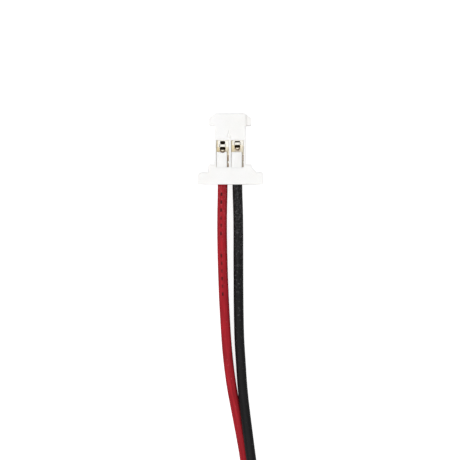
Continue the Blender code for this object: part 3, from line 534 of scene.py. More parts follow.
# Rolled aluminium: cool pale silver with fine lines along the strip.
ALUMINIUM_STRIP = RolledMetal("aluminium_strip_rolled", "E0E1E3", "CFD1D4", 0.28, 0.10, 0.005)
# Vulcanised fibre paper: grey green, dry and fibrous.
FISH_PAPER = Finish("vulcanised_paper_pressed", "8F9C86", "7F8C77", 0.85, 0.10, 0.012)
# Sealed polypropylene film: milky, a little yellow, soft sheen.
TAB_RESIN = Finish("polypropylene_film_sealed", "E4E1D2", "D9D5C3", 0.45, 0.20, 0.006)
# Lithium oxide coat on its foil: black, dry, calendered flat.
CATHODE_PASTE = Finish("lithium_oxide_coated", "2B2B2E", "232326", 0.85, 0.06, 0.010)
# Graphite coat on its foil: dark warm grey, dry.
ANODE_PASTE = Finish("graphite_coated", "37332F", "2D2A27", 0.78, 0.06, 0.010)
# Stretched polyethylene: opaque white with a silky face.
SEPARATOR_FILM = Finish("polyethylene_film_stretched", "EDEDE8", "E2E2DC", 0.50, 0.15, 0.004)


# ----------------------------------------------------------------------------------------- mesh tools


def new_piece(name: str, mesh: bpy.types.Mesh) -> bpy.types.Object:
    """Puts a mesh into the scene under a name.

    Args:
        name: The piece's name.
        mesh: Its mesh.

    Returns:
        The new piece.
    """
    piece = bpy.data.objects.new(name, mesh)
    bpy.context.scene.collection.objects.link(piece)
    return piece


def from_shape(name: str, shape: bmesh.types.BMesh) -> bpy.types.Object:
    """Turns a working mesh into a piece with its faces outward.

    Args:
        name: The piece's name.
        shape: The working mesh, which is used up.

    Returns:
        The new piece.
    """
    bmesh.ops.recalc_face_normals(shape, faces=shape.faces)
    mesh = bpy.data.meshes.new(name)
    shape.to_mesh(mesh)
    shape.free()
    return new_piece(name, mesh)


def applied(piece: bpy.types.Object) -> bpy.types.Object:
    """Makes the result of a piece's modifiers its plain mesh.

    Args:
        piece: What becomes plain mesh.

    Returns:
        The same piece.
    """
    graph = bpy.context.evaluated_depsgraph_get()
    mesh = bpy.data.meshes.new_from_object(piece.evaluated_get(graph), preserve_all_data_layers=True,
                                           depsgraph=graph)
    piece.modifiers.clear()
    piece.data = mesh
    return piece


def skin(name: str, rings: Sequence[Sequence[Vector]], closed: bool = True,
         caps: tuple[bool, bool] = (True, True)) -> bpy.types.Object:
    """Covers a row of rings of equal count.

    Args:
        name: The piece's name.
        rings: The rings, in order.
        closed: Whether each ring meets itself.
        caps: Whether the first and the last closed ring are filled.

    Returns:
        The new piece.
    """
    shape = bmesh.new()
    rows = [[shape.verts.new(point) for point in ring] for ring in rings]
    count = len(rows[0])
    for first, second in zip(rows, rows[1:]):
        for index in range(count if closed else count - 1):
            following = (index + 1) % count
            shape.faces.new((first[index], first[following], second[following], second[index]))
    for row, wanted in zip((rows[0], rows[-1]), caps):
        if closed and wanted:
            shape.faces.new(row)
    return from_shape(name, shape)


def prism(name: str, outline: Sequence[Pair], low: float, high: float, way: Way) -> bpy.types.Object:
    """Draws an outline out from one place to another along an axis."""
    return skin(name, [[way.point(along, a, b) for a, b in outline] for along in (low, high)])


@dataclass(frozen=True)
class Station:
    """One rounded rectangle of a loft."""

    at: float
    half: Pair
    radius: float
    middle: Pair = (0.0, 0.0)
    steps: int = 4

    def ring(self, way: Way) -> list[Vector]:
        """Returns the rectangle's points, anticlockwise from its first side.

        Args:
            way: The axis of the loft.

        Returns:
            The points, which do not repeat the first.
        """
        points = []
        for quarter, (side_a, side_b) in enumerate(((1, 1), (-1, 1), (-1, -1), (1, -1))):
            for step in range(self.steps + 1):
                angle = math.pi / 2 * (quarter + step / self.steps)
                a = self.middle[0] + side_a * (self.half[0] - self.radius) + self.radius * math.cos(angle)
                b = self.middle[1] + side_b * (self.half[1] - self.radius) + self.radius * math.sin(angle)
                points.append(way.point(self.at, a, b))
        return points


def loft(name: str, way: Way, stations: Iterable[Station]) -> bpy.types.Object:
    """Skins rounded rectangles set along an axis."""
    return skin(name, [station.ring(way) for station in stations])


def cut(target: bpy.types.Object, *tools: bpy.types.Object) -> bpy.types.Object:
    """Takes the tools away from a piece.

    Args:
        target: What is cut.
        tools: The cutters, which are used up.

    Returns:
        What was cut.
    """
    for tool in tools:
        modifier = target.modifiers.new("cut", "BOOLEAN")
        modifier.operation = "DIFFERENCE"
        modifier.solver = "EXACT"
        modifier.object = tool
        applied(target)
        bpy.data.objects.remove(tool)
    return target


def joined(name: str, pieces: Sequence[bpy.types.Object]) -> bpy.types.Object:
    """Makes one piece of several, with their materials.

    Args:
        name: The name of the result.
        pieces: What is joined, into the first.

    Returns:
        The joined piece.
    """
    with bpy.context.temp_override(active_object=pieces[0], selected_editable_objects=list(pieces)):
        bpy.ops.object.join()
    pieces[0].name = name
    pieces[0].data.name = name
    return pieces[0]


def eased(piece: bpy.types.Object, width: float, segments: int = 3, angle: float = 30.0) -> bpy.types.Object:
    """Rounds a piece's edges that are sharper than an angle.

    Args:
        piece: What is rounded.
        width: How wide the rounding is.
        segments: How many faces it has.
        angle: The least turn that is rounded, in degrees.

    Returns:
        The same piece.
    """
    modifier = piece.modifiers.new("eased", "BEVEL")
    modifier.width = width
    modifier.segments = segments
    modifier.limit_method = "ANGLE"
    modifier.angle_limit = math.radians(angle)
    modifier.miter_outer = "MITER_ARC"
    modifier.use_clamp_overlap = True
    return applied(piece)


def shaded(piece: bpy.types.Object, angle: float = 35.0) -> bpy.types.Object:
    """Shades round surfaces smooth and flat ones flat.

    Args:
        piece: What is shaded.
        angle: The least turn that stays an edge, in degrees.

    Returns:
        The same piece.
    """
    piece.data.shade_smooth()
    piece.data.set_sharp_from_angle(angle=math.radians(angle))
    modifier = piece.modifiers.new("even", "WEIGHTED_NORMAL")
    modifier.keep_sharp = True
    modifier.weight = 100
    return applied(piece)


def fitted(piece: bpy.types.Object, finish: Finish | None, nodes: Sequence[str] = (),
           body: str = "pack") -> bpy.types.Object:
    """Dresses a finished piece, hides what it stands for and makes it ride.

    Args:
        piece: The piece, in place.
        finish: Its surface, or None where its faces have theirs.
        nodes: The CAD nodes that it stands for.
        body: The CAD body that it moves with.

    Returns:
        The piece.
    """
    if finish:
        piece.data.materials.clear()
        piece.data.materials.append(finish.material())
    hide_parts(*nodes)
    if body:
        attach(piece, body)
    LOG.info("%s: %d faces, for %s", piece.name, len(piece.data.polygons), ", ".join(nodes) or "detail")
    return piece


# ----------------------------------------------------------------------------------- geometry nodes


class Growth:
    """A geometry-node tree with named sizes, which ends in plain, dressed mesh."""

    def __init__(self, name: str, sizes: dict[str, str]) -> None:
        """Makes the empty tree.

        Args:
            name: The tree's name.
            sizes: Its inputs' names, with their socket types.
        """
        self.tree = bpy.data.node_groups.new(name, "GeometryNodeTree")
        interface = self.tree.interface
        interface.new_socket("Geometry", in_out="INPUT", socket_type="NodeSocketGeometry")
        for size, kind in {**sizes, "Material": "NodeSocketMaterial"}.items():
            interface.new_socket(size, in_out="INPUT", socket_type=kind)
        interface.new_socket("Geometry", in_out="OUTPUT", socket_type="NodeSocketGeometry")
        self.inputs = self.add("NodeGroupInput").outputs

    def add(self, kind: str, inputs: dict[Any, Any] | None = None, **settings: Any) -> bpy.types.Node:
        """Adds one node to the tree."""
        return add_node(self.tree, kind, inputs, **settings)

    def close(self, geometry: bpy.types.NodeSocket) -> None:
        """Ends the tree: real geometry, shaded smooth, with its material.

        Args:
            geometry: What the tree has made.
        """
        real = self.add("GeometryNodeRealizeInstances", {"Geometry": geometry})
        smooth = self.add("GeometryNodeSetShadeSmooth", {"Geometry": real.outputs["Geometry"]})
        dressed = self.add("GeometryNodeSetMaterial", {
            "Geometry": smooth.outputs["Geometry"], "Material": self.inputs["Material"]})
        self.add("NodeGroupOutput", {"Geometry": dressed.outputs["Geometry"]})

    def grow(self, piece: bpy.types.Object, finish: Finish, **values: float) -> bpy.types.Object:
        """Runs the tree on a piece, and keeps the result as its plain mesh.

        Args:
            piece: What the tree starts from.
            finish: The surface of what it makes.
            values: Its sizes, by input name with underscores for spaces.

        Returns:
            The piece.
        """
        modifier = piece.modifiers.new(self.tree.name, "NODES")
        modifier.node_group = self.tree
        sockets = {item.name: item.identifier for item in self.tree.interface.items_tree
                   if item.in_out == "INPUT"}
        for name, value in values.items():
            modifier[sockets[name.replace("_", " ")]] = value
        modifier[sockets["Material"]] = finish.material()
        return applied(piece)


class StrandBundle(Growth):
    """Seven fine wires, six of them twisted round one, along a line."""

    def __init__(self) -> None:
        """Builds the tree: a profile of seven circles, swept along the line while it turns."""
        super().__init__("strand_bundle", {
            "Strand Radius": "NodeSocketFloat", "Turn Rate": "NodeSocketFloat", "Step": "NodeSocketFloat"})
        radius = self.inputs["Strand Radius"]
        line = self.add("GeometryNodeMeshToCurve", {"Mesh": self.inputs["Geometry"]})
        fine = self.add("GeometryNodeResampleCurve", {
            "Curve": line.outputs["Curve"], "Length": self.inputs["Step"]}, mode="LENGTH")
        place = self.add("GeometryNodeSplineParameter")
        turn = worked(self.tree, "MULTIPLY", place.outputs["Length"], self.inputs["Turn Rate"])
        twisted = self.add("GeometryNodeSetCurveTilt", {"Curve": fine.outputs["Curve"], "Tilt": turn})
        pitch = worked(self.tree, "MULTIPLY", radius, 2.0)
        centres = self.add("GeometryNodeMeshCircle", {"Vertices": 6, "Radius": pitch})
        wire = self.add("GeometryNodeCurvePrimitiveCircle", {"Resolution": 8, "Radius": radius})
        outer = self.add("GeometryNodeInstanceOnPoints", {
            "Points": centres.outputs["Mesh"], "Instance": wire.outputs["Curve"]})
        real = self.add("GeometryNodeRealizeInstances", {"Geometry": outer.outputs["Instances"]})
        profile = self.add("GeometryNodeJoinGeometry", {"Geometry": wire.outputs["Curve"]})
        self.tree.links.new(real.outputs["Geometry"], profile.inputs["Geometry"])
        swept = self.add("GeometryNodeCurveToMesh", {
            "Curve": twisted.outputs["Curve"], "Profile Curve": profile.outputs["Geometry"],
            "Fill Caps": True})
        self.close(swept.outputs["Mesh"])


# ---------------------------------------------------------------------------------------------- leads


class Tube:
    """A closed tube round a line, with millimetres round it and along it as its UV map."""

    UV_NAME = "round_and_along"
    RIM_SHARE = 0.12
    LIP = 0.02 * MM

    def __init__(self, line: Sequence[Vector], radius: Callable[[float], float], sides: int) -> None:
        """Keeps the line and its sizes.

        Args:
            line: Close points along the middle.
            radius: The radius at a length along it.
            sides: How many sides the tube has.
        """
        self.line = list(line)
        self.radius = radius
        self.sides = sides
        self.lengths = [0.0]
        for first, second in zip(self.line, self.line[1:]):
            self.lengths.append(self.lengths[-1] + (second - first).length)

    def rings(self) -> list[list[Vector]]:
        """Returns the rings, whose first point stays below the line.

        Returns:
            One ring for each point of the line.
        """
        rings = []
        for index, centre in enumerate(self.line):
            before = self.line[max(index - 1, 0)]
            after = self.line[min(index + 1, len(self.line) - 1)]
            forward = (after - before).normalized()
            side = forward.cross(Vector((0.0, 0.0, 1.0))).normalized()
            down = forward.cross(side).normalized()
            reach = self.radius(self.lengths[index])
            rings.append([centre + reach * (down * math.cos(angle) + side * math.sin(angle))
                          for angle in (2 * math.pi * step / self.sides for step in range(self.sides))])
        return rings

    def build(self, name: str) -> bpy.types.Object:
        """Builds the tube, with an eased rim round each cut end.

        Args:
            name: The piece's name.

        Returns:
            The tube, with its UV map.
        """
        rings = self.rings()
        first, last = ([point.lerp(self.line[end], self.RIM_SHARE) for point in rings[end]]
                       for end in (0, -1))
        back = (self.line[0] - self.line[1]).normalized()
        forward = (self.line[-1] - self.line[-2]).normalized()
        piece = skin(name, [[point + back * self.LIP for point in first], *rings,
                            [point + forward * self.LIP for point in last]])
        piece.data.shade_smooth()
        self.map(piece)
        return piece

    def map(self, piece: bpy.types.Object) -> None:
        """Writes the UV map from the rows that the tube was skinned in.

        Args:
            piece: The tube's piece.
        """
        layer = piece.data.uv_layers.new(name=self.UV_NAME)
        across = 2 * math.pi * self.radius(0.0) / MM
        lengths = [self.lengths[0], *self.lengths, self.lengths[-1]]
        for face in piece.data.polygons:
            columns = [piece.data.loops[loop].vertex_index % self.sides for loop in face.loop_indices]
            wraps = max(columns) - min(columns) > self.sides / 2
            for loop, column in zip(face.loop_indices, columns):
                row = piece.data.loops[loop].vertex_index // self.sides
                turned = column + self.sides if wraps and column < self.sides / 2 else column
                layer.data[loop].uv = ((turned / self.sides - 0.5) * across, lengths[row] / MM)


@dataclass
class Lead:
    """One insulated lead, from the board's joint to its contact in the plug."""

    pole: str
    name: str
    slot: str
    finish: Finish
    route: Sequence[Point]
    length: float
    diameter: float = 0.84 * MM
    steps: int = 22
    sides: int = 40
    unevenness: float = 0.006
    wave: float = 1.7 * MM

    def centre_line(self) -> list[Vector]:
        """Returns close points on the smooth curve through the route.

        Returns:
            The points, from the board to the plug.
        """
        knots = [Vector(point) for point in self.route]
        line = []
        for index in range(len(knots) - 1):
            before, start = knots[max(index - 1, 0)], knots[index]
            end, after = knots[index + 1], knots[min(index + 2, len(knots) - 1)]
            for step in range(self.steps):
                share = step / self.steps
                square, cube = share ** 2, share ** 3
                line.append(start * (2 * cube - 3 * square + 1)
                            + (end - before) / 2 * (cube - 2 * square + share)
                            + end * (3 * square - 2 * cube) + (after - start) / 2 * (cube - square))
        return [*line, knots[-1]]

    def radius(self, along: float) -> float:
        """Returns the radius, which the extruder left very slightly uneven."""
        drift = noise.noise(Vector((along / self.wave, self.length / MM, 0.0)))
        return self.diameter / 2 * (1 + self.unevenness * drift)

    def build(self) -> bpy.types.Object:
        """Builds the insulation round the centre line.

        Returns:
            The insulation.
        """
        self.line = self.centre_line()
        piece = Tube(self.line, self.radius, self.sides).build(self.name + "_insulation")
        return fitted(piece, self.finish, [self.name])

    def declare(self, piece: bpy.types.Object, exit_point: Point,
                with_pieces: Sequence[bpy.types.Object]) -> None:
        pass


# Each lead's middle line in metres: out over the board, down in front of it, and along to its contact.
RED_ROUTE = (
    (-0.00110, 0.01410, 0.00200), (-0.00110, 0.01650, 0.00200), (-0.00110, 0.01850, 0.00196),
    (-0.00113, 0.02100, 0.00148), (-0.00124, 0.02350, 0.00082), (-0.00145, 0.02620, 0.00048),
    (-0.00172, 0.02900, 0.00044), (-0.00204, 0.03170, 0.00044), (-0.00238, 0.03370, 0.00044),
    (-0.00280, 0.03590, 0.00044), (-0.00315, 0.03780, 0.00044), (-0.00341, 0.03970, 0.00044),
    (-0.00360, 0.04170, 0.00044), (-0.00375, 0.04410, 0.00044), (-0.00386, 0.04640, 0.00050),
    (-0.003935, 0.04880, 0.00071), (-0.00397, 0.05080, 0.00095), (-0.003965, 0.05260, 0.00112),
    (-0.003935, 0.05400, 0.00117), (-0.003925, 0.05500, 0.00117), (-0.003925, 0.05625, 0.00117),
)
BLACK_ROUTE = (
    (0.00110, 0.01410, 0.00200), (0.00110, 0.01650, 0.00200), (0.00110, 0.01850, 0.00197),
    (0.00093, 0.02080, 0.00173), (0.00044, 0.02330, 0.00142), (-0.00032, 0.02580, 0.00121),
    (-0.00104, 0.02850, 0.00115), (-0.00150, 0.03170, 0.00115), (-0.00176, 0.03370, 0.00110),
    (-0.00204, 0.03590, 0.00090), (-0.00224, 0.03780, 0.00064), (-0.00237, 0.03970, 0.00050),
    (-0.00250, 0.04180, 0.00044), (-0.00256, 0.04420, 0.00044), (-0.00258, 0.04640, 0.00050),
    (-0.00259, 0.04880, 0.00071), (-0.00259, 0.05080, 0.00095), (-0.00261, 0.05260, 0.00112),
    (-0.002655, 0.05400, 0.00117), (-0.002675, 0.05500, 0.00117), (-0.002675, 0.05625, 0.00117),
)


# ----------------------------------------------------------------------------------------------- plug


@dataclass
class Housing:
    """Moulded two-way housing: wide flange at the wire side, step, body, ears at the mating end."""

    node: str = "connector_housing"
    pitch: float = 1.25 * MM
    half_flange: float = 2.78 * MM
    flange: float = 1.03 * MM
    left_chamfer: float = 0.25 * MM
    right_chamfer: float = 0.08 * MM
    half_step: float = 1.84 * MM
    step_end: float = 1.69 * MM
    gusset: float = 0.40 * MM
    half_body: float = 1.34 * MM
    half_ear: float = 1.815 * MM
    ear: float = 1.04 * MM
    ear_chamfer: Pair = (0.575 * MM, 0.40 * MM)
    cavity: float = 1.08 * MM
    front_wall: float = 0.48 * MM
    window: Pair = (1.46 * MM, 3.76 * MM)
    pin_entry: float = 0.62 * MM
    mould_radius: float = 0.055 * MM
    rim: float = 0.035 * MM
    ear_drop: float = 0.10 * MM
    wedge_place: Pair = (-0.10 * MM, 4.0 * MM)
    recess_inset: float = 0.45 * MM
    ejector_radius: float = 0.28 * MM
    ejector_side: float = 1.9 * MM
    ejector_start: float = 0.55 * MM

    def __post_init__(self) -> None:
        """Reads the housing's place from its CAD node."""
        low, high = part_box(self.node)
        self.middle = (low.x + high.x) / 2
        self.start, self.end = low.y, high.y
        self.bottom, self.top = low.z, high.z
        self.cavity_z = (low.z + high.z) / 2

    def outline(self) -> list[Pair]:
        """Returns the plan, anticlockwise from the left of the wire side.

        Returns:
            The corners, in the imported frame.
        """
        length = self.end - self.start
        ear_start = length - self.ear
        wide, deep = self.ear_chamfer
        plan = [
            (-self.half_flange, 0.0), (self.half_flange, 0.0),
            (self.half_flange, self.flange - self.right_chamfer),
            (self.half_flange - self.right_chamfer, self.flange), (self.half_step + self.gusset, self.flange),
            (self.half_step, self.flange + self.gusset), (self.half_step, self.step_end),
            (self.half_body, self.step_end), (self.half_body, ear_start), (self.half_ear, ear_start),
            (self.half_ear, length - deep), (self.half_ear - wide, length), (-self.half_ear + wide, length),
            (-self.half_ear, length - deep), (-self.half_ear, ear_start), (-self.half_body, ear_start),
            (-self.half_body, self.step_end), (-self.half_step, self.step_end),
            (-self.half_step, self.flange), (-self.half_flange + self.left_chamfer, self.flange),
            (-self.half_flange, self.flange - self.left_chamfer),
        ]
        return [(self.middle + x, self.start + y) for x, y in plan]

    def cavity_tool(self, middle: float) -> bpy.types.Object:
        """Returns the cutter for a contact's cavity, with a lead-in at its mouth.

        Args:
            middle: The cavity's middle in x.

        Returns:
            The cutter.
        """
        half, start, rim = self.cavity / 2, self.start, self.rim
        centre = (middle, self.cavity_z)
        return loft("cavity_tool", Way.Y, [
            Station(start - 2 * rim, (half + 3 * rim, half + 3 * rim), 0.12 * MM, centre),
            Station(start + rim, (half, half), 0.08 * MM, centre),
            Station(self.end - self.front_wall, (half, half), 0.06 * MM, centre)])

    def window_tool(self, middle: float) -> bpy.types.Object:
        """Returns the cutter for a window over a cavity.

        Args:
            middle: The cavity's middle in x.

        Returns:
            The cutter.
        """
        half = (self.cavity - 0.02 * MM) / 2
        low, high = self.start + self.window[0], self.start + self.window[1]
        centre, reach, rim = (middle, (low + high) / 2), (high - low) / 2, self.rim
        return loft("window_tool", Way.Z, [
            Station(self.cavity_z, (half, reach), 0.06 * MM, centre),
            Station(self.top - rim, (half, reach), 0.07 * MM, centre),
            Station(self.top + rim, (half + 2 * rim, reach + 2 * rim), 0.10 * MM, centre)])

    def entry_tool(self, middle: float) -> bpy.types.Object:
        """Returns the cutter for a mating hole, which widens at its mouth.

        Args:
            middle: The cavity's middle in x.

        Returns:
            The cutter.
        """
        half, chamfer, centre = self.pin_entry / 2, 0.14 * MM, (middle, self.cavity_z)
        return loft("entry_tool", Way.Y, [
            Station(self.end - self.front_wall - 0.1 * MM, (half, half), 0.04 * MM, centre),
            Station(self.end - chamfer, (half, half), 0.04 * MM, centre),
            Station(self.end + chamfer, (half + 2 * chamfer, half + 2 * chamfer), 0.12 * MM, centre)])

    def marks(self) -> list[bpy.types.Object]:
        """Returns the cutters for the wedge on the top, the recess and the ejector marks below.

        Returns:
            The cutters, with those that drop the ears' faces.
        """
        x, y = self.middle + self.wedge_place[0], self.start + self.wedge_place[1]
        wedge = skin("wedge_tool", [
            [Vector((x + a, y + b, self.top + z)) for a, b in outline]
            for z, outline in (
                (-0.07 * MM, ((-0.14 * MM, 0.03 * MM), (0.14 * MM, 0.03 * MM), (0.0, 0.58 * MM))),
                (0.03 * MM, ((-0.19 * MM, -0.02 * MM), (0.19 * MM, -0.02 * MM), (0.0, 0.68 * MM))))])
        low = self.start + self.step_end + self.recess_inset
        high = self.end - self.ear - self.recess_inset
        half, reach, centre = self.half_body - self.recess_inset, (high - low) / 2, (low + high) / 2
        recess = loft("recess_tool", Way.Z, [
            Station(self.bottom + depth, (half + grow, reach + grow), 0.12 * MM, (self.middle, centre))
            for depth, grow in ((0.25 * MM, 0.0), (0.03 * MM, 0.0), (-0.05 * MM, 0.06 * MM))])
        size = (self.ejector_radius, self.ejector_radius)
        pins = [loft("ejector_tool", Way.Z, [
            Station(self.bottom + depth, size, 0.279 * MM,
                    (self.middle + side, self.start + self.ejector_start), steps=6)
            for depth in (0.03 * MM, -0.05 * MM)]) for side in (-self.ejector_side, self.ejector_side)]
        ears = [loft("ear_tool", Way.Z, [
            Station(self.top + height, (self.half_ear, self.ear), 0.03 * MM,
                    (self.middle + side * (self.half_body + self.half_ear), self.end))
            for height in (-self.ear_drop, self.ear_drop)]) for side in (-1, 1)]
        return [wedge, recess, *pins, *ears]

    def build(self) -> bpy.types.Object:
        """Moulds the outside, then cuts the cavities, windows, mating holes and marks.

        Returns:
            The housing.
        """
        piece = prism("plug_housing", self.outline(), self.bottom, self.top, Way.Z)
        eased(piece, self.mould_radius, 3, 20.0)
        for side in (-1, 1):
            middle = self.middle + side * self.pitch / 2
            cut(piece, self.cavity_tool(middle), self.window_tool(middle), self.entry_tool(middle))
        cut(piece, *self.marks())
        shaded(piece)
        return fitted(piece, NATURAL_NYLON, [self.node])


@dataclass(frozen=True)
class Cup:
    """The half-round stop of a contact, just past its tongue's tip."""

    x: float
    y: float
    radius: float


@dataclass
class Tang:
    """Springy locking tongue, moulded on the housing and bending at its root."""

    pole: str
    cup: Cup
    width: float = 0.87 * MM
    rooted: float = 0.26 * MM
    hook_half_width: float = 0.22 * MM
    hook_length: float = 0.24 * MM
    hook_drop: float = 0.34 * MM
    radius: float = 0.04 * MM
    bends: int = 8
    hinge_reach: float = 0.36 * MM
    cup_gap: float = 0.015 * MM
    notch_sides: int = 28

    def __post_init__(self) -> None:
        """Reads the tongue's place from its CAD node."""
        self.node = self.pole + "_locking_tang"
        low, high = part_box(self.node)
        self.middle = (low.x + high.x) / 2
        self.root, self.tip = low.y, high.y
        self.top = high.z + 0.035 * MM
        self.bottom = low.z + self.hook_drop

    def notch(self) -> bpy.types.Object:
        """Returns the cutter for the round notch in the tip, which clears the contact's cup.

        Returns:
            The cutter.
        """
        reach = self.cup.radius + self.cup_gap
        angles = [2 * math.pi * step / self.notch_sides for step in range(self.notch_sides)]
        return skin("notch_tool", [
            [Vector((self.cup.x + reach * math.cos(angle), self.cup.y + reach * math.sin(angle),
                     self.top + height)) for angle in angles]
            for height in (-0.60 * MM, 0.10 * MM)])

    def build(self) -> bpy.types.Object:
        """Builds the tongue with its hook, rooted in the housing and blended across the hinge.

        Returns:
            The tongue, cut across in even steps along its length.
        """
        start, half = self.root - self.rooted, self.width / 2
        profile = [(start, self.bottom), (self.tip, self.bottom), (self.tip, self.top - 0.03 * MM),
                   (self.tip - 0.05 * MM, self.top), (start, self.top)]
        tongue = prism(self.node + "_tongue", profile, self.middle - half, self.middle + half, Way.X)
        eased(tongue, self.radius, 3)
        cut(tongue, self.notch())
        low = self.bottom - self.hook_drop
        hook_profile = [(self.tip - self.hook_length - 0.06 * MM, self.bottom + 0.05 * MM),
                        (self.tip - self.hook_length, low), (self.tip - 0.06 * MM, low),
                        (self.tip - 0.06 * MM, self.bottom + 0.08 * MM)]
        hook = prism("hook", hook_profile, self.middle - self.hook_half_width,
                     self.middle + self.hook_half_width, Way.X)
        eased(hook, self.radius / 2, 2)
        shape = bmesh.new()
        shape.from_mesh(tongue.data)
        for bend in range(1, self.bends):
            place = self.root + (self.tip - self.root) * bend / self.bends
            bmesh.ops.bisect_plane(shape, geom=[*shape.verts, *shape.edges, *shape.faces],
                                   plane_co=(0.0, place, 0.0), plane_no=(0.0, 1.0, 0.0))
        shape.to_mesh(tongue.data)
        shape.free()
        piece = shaded(joined(self.node + "_tongue", [tongue, hook]))
        fitted(piece, NATURAL_NYLON, [self.node], body="")
        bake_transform(piece)
        return piece


# The tall wall from the wire side: start and end, its inner face's place at each, all in mm, and surface.
WALL_PARTS = (
    ((1.48, 1.78), (0.375, 0.39), COINED_BRONZE),
    ((1.80, 1.98), (0.41, 0.43), BRIGHT_TIN),
    ((2.00, 2.50), (0.375, 0.385), COINED_BRONZE),
    ((2.50, 2.88), (0.385, 0.45), THIN_TIN_AND_CUP_HIGHLIGHT),
)
# The wire crimp's bell and waists: share of its length, and how much wider it is there, in mm.
BARREL_SHAPE = (
    (0.0, 0.03), (0.12, 0.0), (0.3, -0.015), (0.5, 0.0), (0.7, -0.015), (0.88, 0.0), (1.0, 0.03),
)


@dataclass
class Contact:
    """Stamped crimp contact: mating box with its lock hole and strap, wire crimp, insulation crimp."""

    pole: str
    housing: Housing
    cup: Cup
    creep: float = 0.0
    sheet: float = 0.12 * MM
    box_start: float = 2.32 * MM
    hook_hole: Pair = (2.40 * MM, 2.72 * MM)
    lock_hole_end: float = 3.17 * MM
    lock_half_width: float = 0.26 * MM
    fold: float = 0.03 * MM
    plate_edges: Pair = (0.42 * MM, 0.27 * MM)
    cup_rim_z: float = 2.10 * MM
    cup_depth: float = 0.16 * MM
    wall_top_z: float = 2.08 * MM
    strap: Pair = (3.17 * MM, 3.42 * MM)
    front_hole_end: float = 3.69 * MM
    front_half_width: float = 0.22 * MM
    wire_crimp: Pair = (1.50 * MM, 2.20 * MM)
    wire_radius: float = 0.35 * MM
    insulation_crimp: Pair = (0.20 * MM, 1.18 * MM)
    wing_sheet: float = 0.08 * MM
    wing_gap: float = 0.16
    seam_depth: float = 0.11 * MM
    seam_width: float = 0.32
    barrel_sides: int = 32

    def __post_init__(self) -> None:
        """Reads the contact's place from its CAD node."""
        self.node = self.pole + "_contact"
        low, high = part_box(self.node)
        self.middle = (low.x + high.x) / 2
        self.half = (high.x - low.x) / 2
        self.bottom, self.top = low.z, high.z - 0.05 * MM
        self.start, self.end = self.housing.start, high.y
        self.axis_z = self.housing.cavity_z
        self.box_half = self.housing.cavity / 2 - 0.004 * MM
        self.lock_hole = (self.cup.y - self.start, self.lock_hole_end + self.creep)
        self.strap = (self.strap[0] + self.creep, self.strap[1] + self.creep)

    def plated(self, piece: bpy.types.Object) -> bpy.types.Object:
        """Gives the box bronze sheet, tin that thins from its mating half, and nearly black bronze inside as
        painted shade.

        Args:
            piece: The folded box.

        Returns:
            The same piece.
        """
        for finish in (PLATED_BRONZE, BRIGHT_TIN, PAINTED_SHADE_BRONZE, THIN_TIN_AND_CUP_HIGHLIGHT):
            piece.data.materials.append(finish.material())
        inside = (self.box_half - self.sheet / 2, self.top - self.sheet / 2, self.bottom + self.sheet / 2)
        for face in piece.data.polygons:
            x, y, z = face.center
            if abs(x - self.middle) < inside[0] and inside[2] < z < inside[1] and y < self.end - self.sheet:
                # faces inside the box take the nearly black bronze: painted shade for the dark holes
                face.material_index = 2
            elif z > self.axis_z:
                plated = y > self.start + self.strap[0]
                if x > self.middle - self.plate_edges[not plated]:
                    face.material_index = 1 if plated else 3
        return piece

    def box(self) -> bpy.types.Object:
        """Folds the mating box, with its holes in the top.

        Returns:
            The box, without its surfaces.
        """
        height = (self.bottom + self.top) / 2
        half_z, wall, centre = (self.top - self.bottom) / 2, self.sheet, (self.middle, height)
        start, end = self.start + self.box_start, self.end
        outer = loft("box", Way.Y, [Station(start, (self.box_half, half_z), self.fold, centre),
                                    Station(end, (self.box_half, half_z), self.fold, centre)])
        inner = loft("box_tool", Way.Y, [
            Station(start - wall, (self.box_half - wall, half_z - wall), 0.04 * MM, centre),
            Station(end - wall, (self.box_half - wall, half_z - wall), 0.04 * MM, centre),
            Station(end + wall, (self.box_half, half_z), 0.08 * MM, centre)])
        tools = [inner]
        for (low, high), wide in ((self.hook_hole, self.lock_half_width), (self.lock_hole, self.cup.radius),
                                  ((self.strap[1], self.front_hole_end), self.front_half_width)):
            tools.append(loft("hole_tool", Way.Z, [
                Station(place, (wide, (high - low) / 2), min(0.09 * MM, (high - low) * 0.45),
                        (self.middle, self.start + (low + high) / 2))
                for place in (height, self.top + wall)]))
        split = bmesh.new()
        split.from_mesh(outer.data)
        planes = [((0.0, self.start + self.strap[0], 0.0), (0.0, 1.0, 0.0))]
        planes += [((self.middle - edge, 0.0, 0.0), (1.0, 0.0, 0.0)) for edge in self.plate_edges]
        for place, normal in planes:
            bmesh.ops.bisect_plane(split, geom=[*split.verts, *split.edges, *split.faces],
                                   plane_co=place, plane_no=normal)
        split.to_mesh(outer.data)
        split.free()
        return cut(outer, *tools)

    def stop_cup(self) -> bpy.types.Object:
        """Draws the half-round stop up out of the box's top, with a hollow that slopes to its floor, whose
        upward middle is pale tin as a painted highlight.

        Returns:
            The cup, with its surfaces.
        """
        rim, floor, base = self.cup_rim_z, self.cup_rim_z - self.cup_depth, self.top - 0.02 * MM
        reach, lip = self.cup.radius, 0.035 * MM
        profile = [(reach - lip, rim), (reach, rim - 0.01 * MM), (reach, base), (0.02 * MM, base),
                   (0.02 * MM, floor), (reach * 0.45, floor + 0.02 * MM)]
        rings = []
        for step in range(25):
            angle = math.pi * (1 + step / 24)
            rings.append([Vector((self.cup.x + out * math.cos(angle), self.cup.y + out * math.sin(angle), z))
                          for out, z in profile])
        cup = skin("stop_cup", rings)
        for finish in (COINED_BRONZE, THIN_TIN_AND_CUP_HIGHLIGHT):
            cup.data.materials.append(finish.material())
        for face in cup.data.polygons:
            # the upward faces in the middle of the floor take pale tin, a painted highlight; the rest is
            # coined bronze
            near = math.dist(face.center.xy, (self.cup.x, self.cup.y)) < reach * 0.62
            face.material_index = int(near and face.normal.z > 0.5)
        return cup

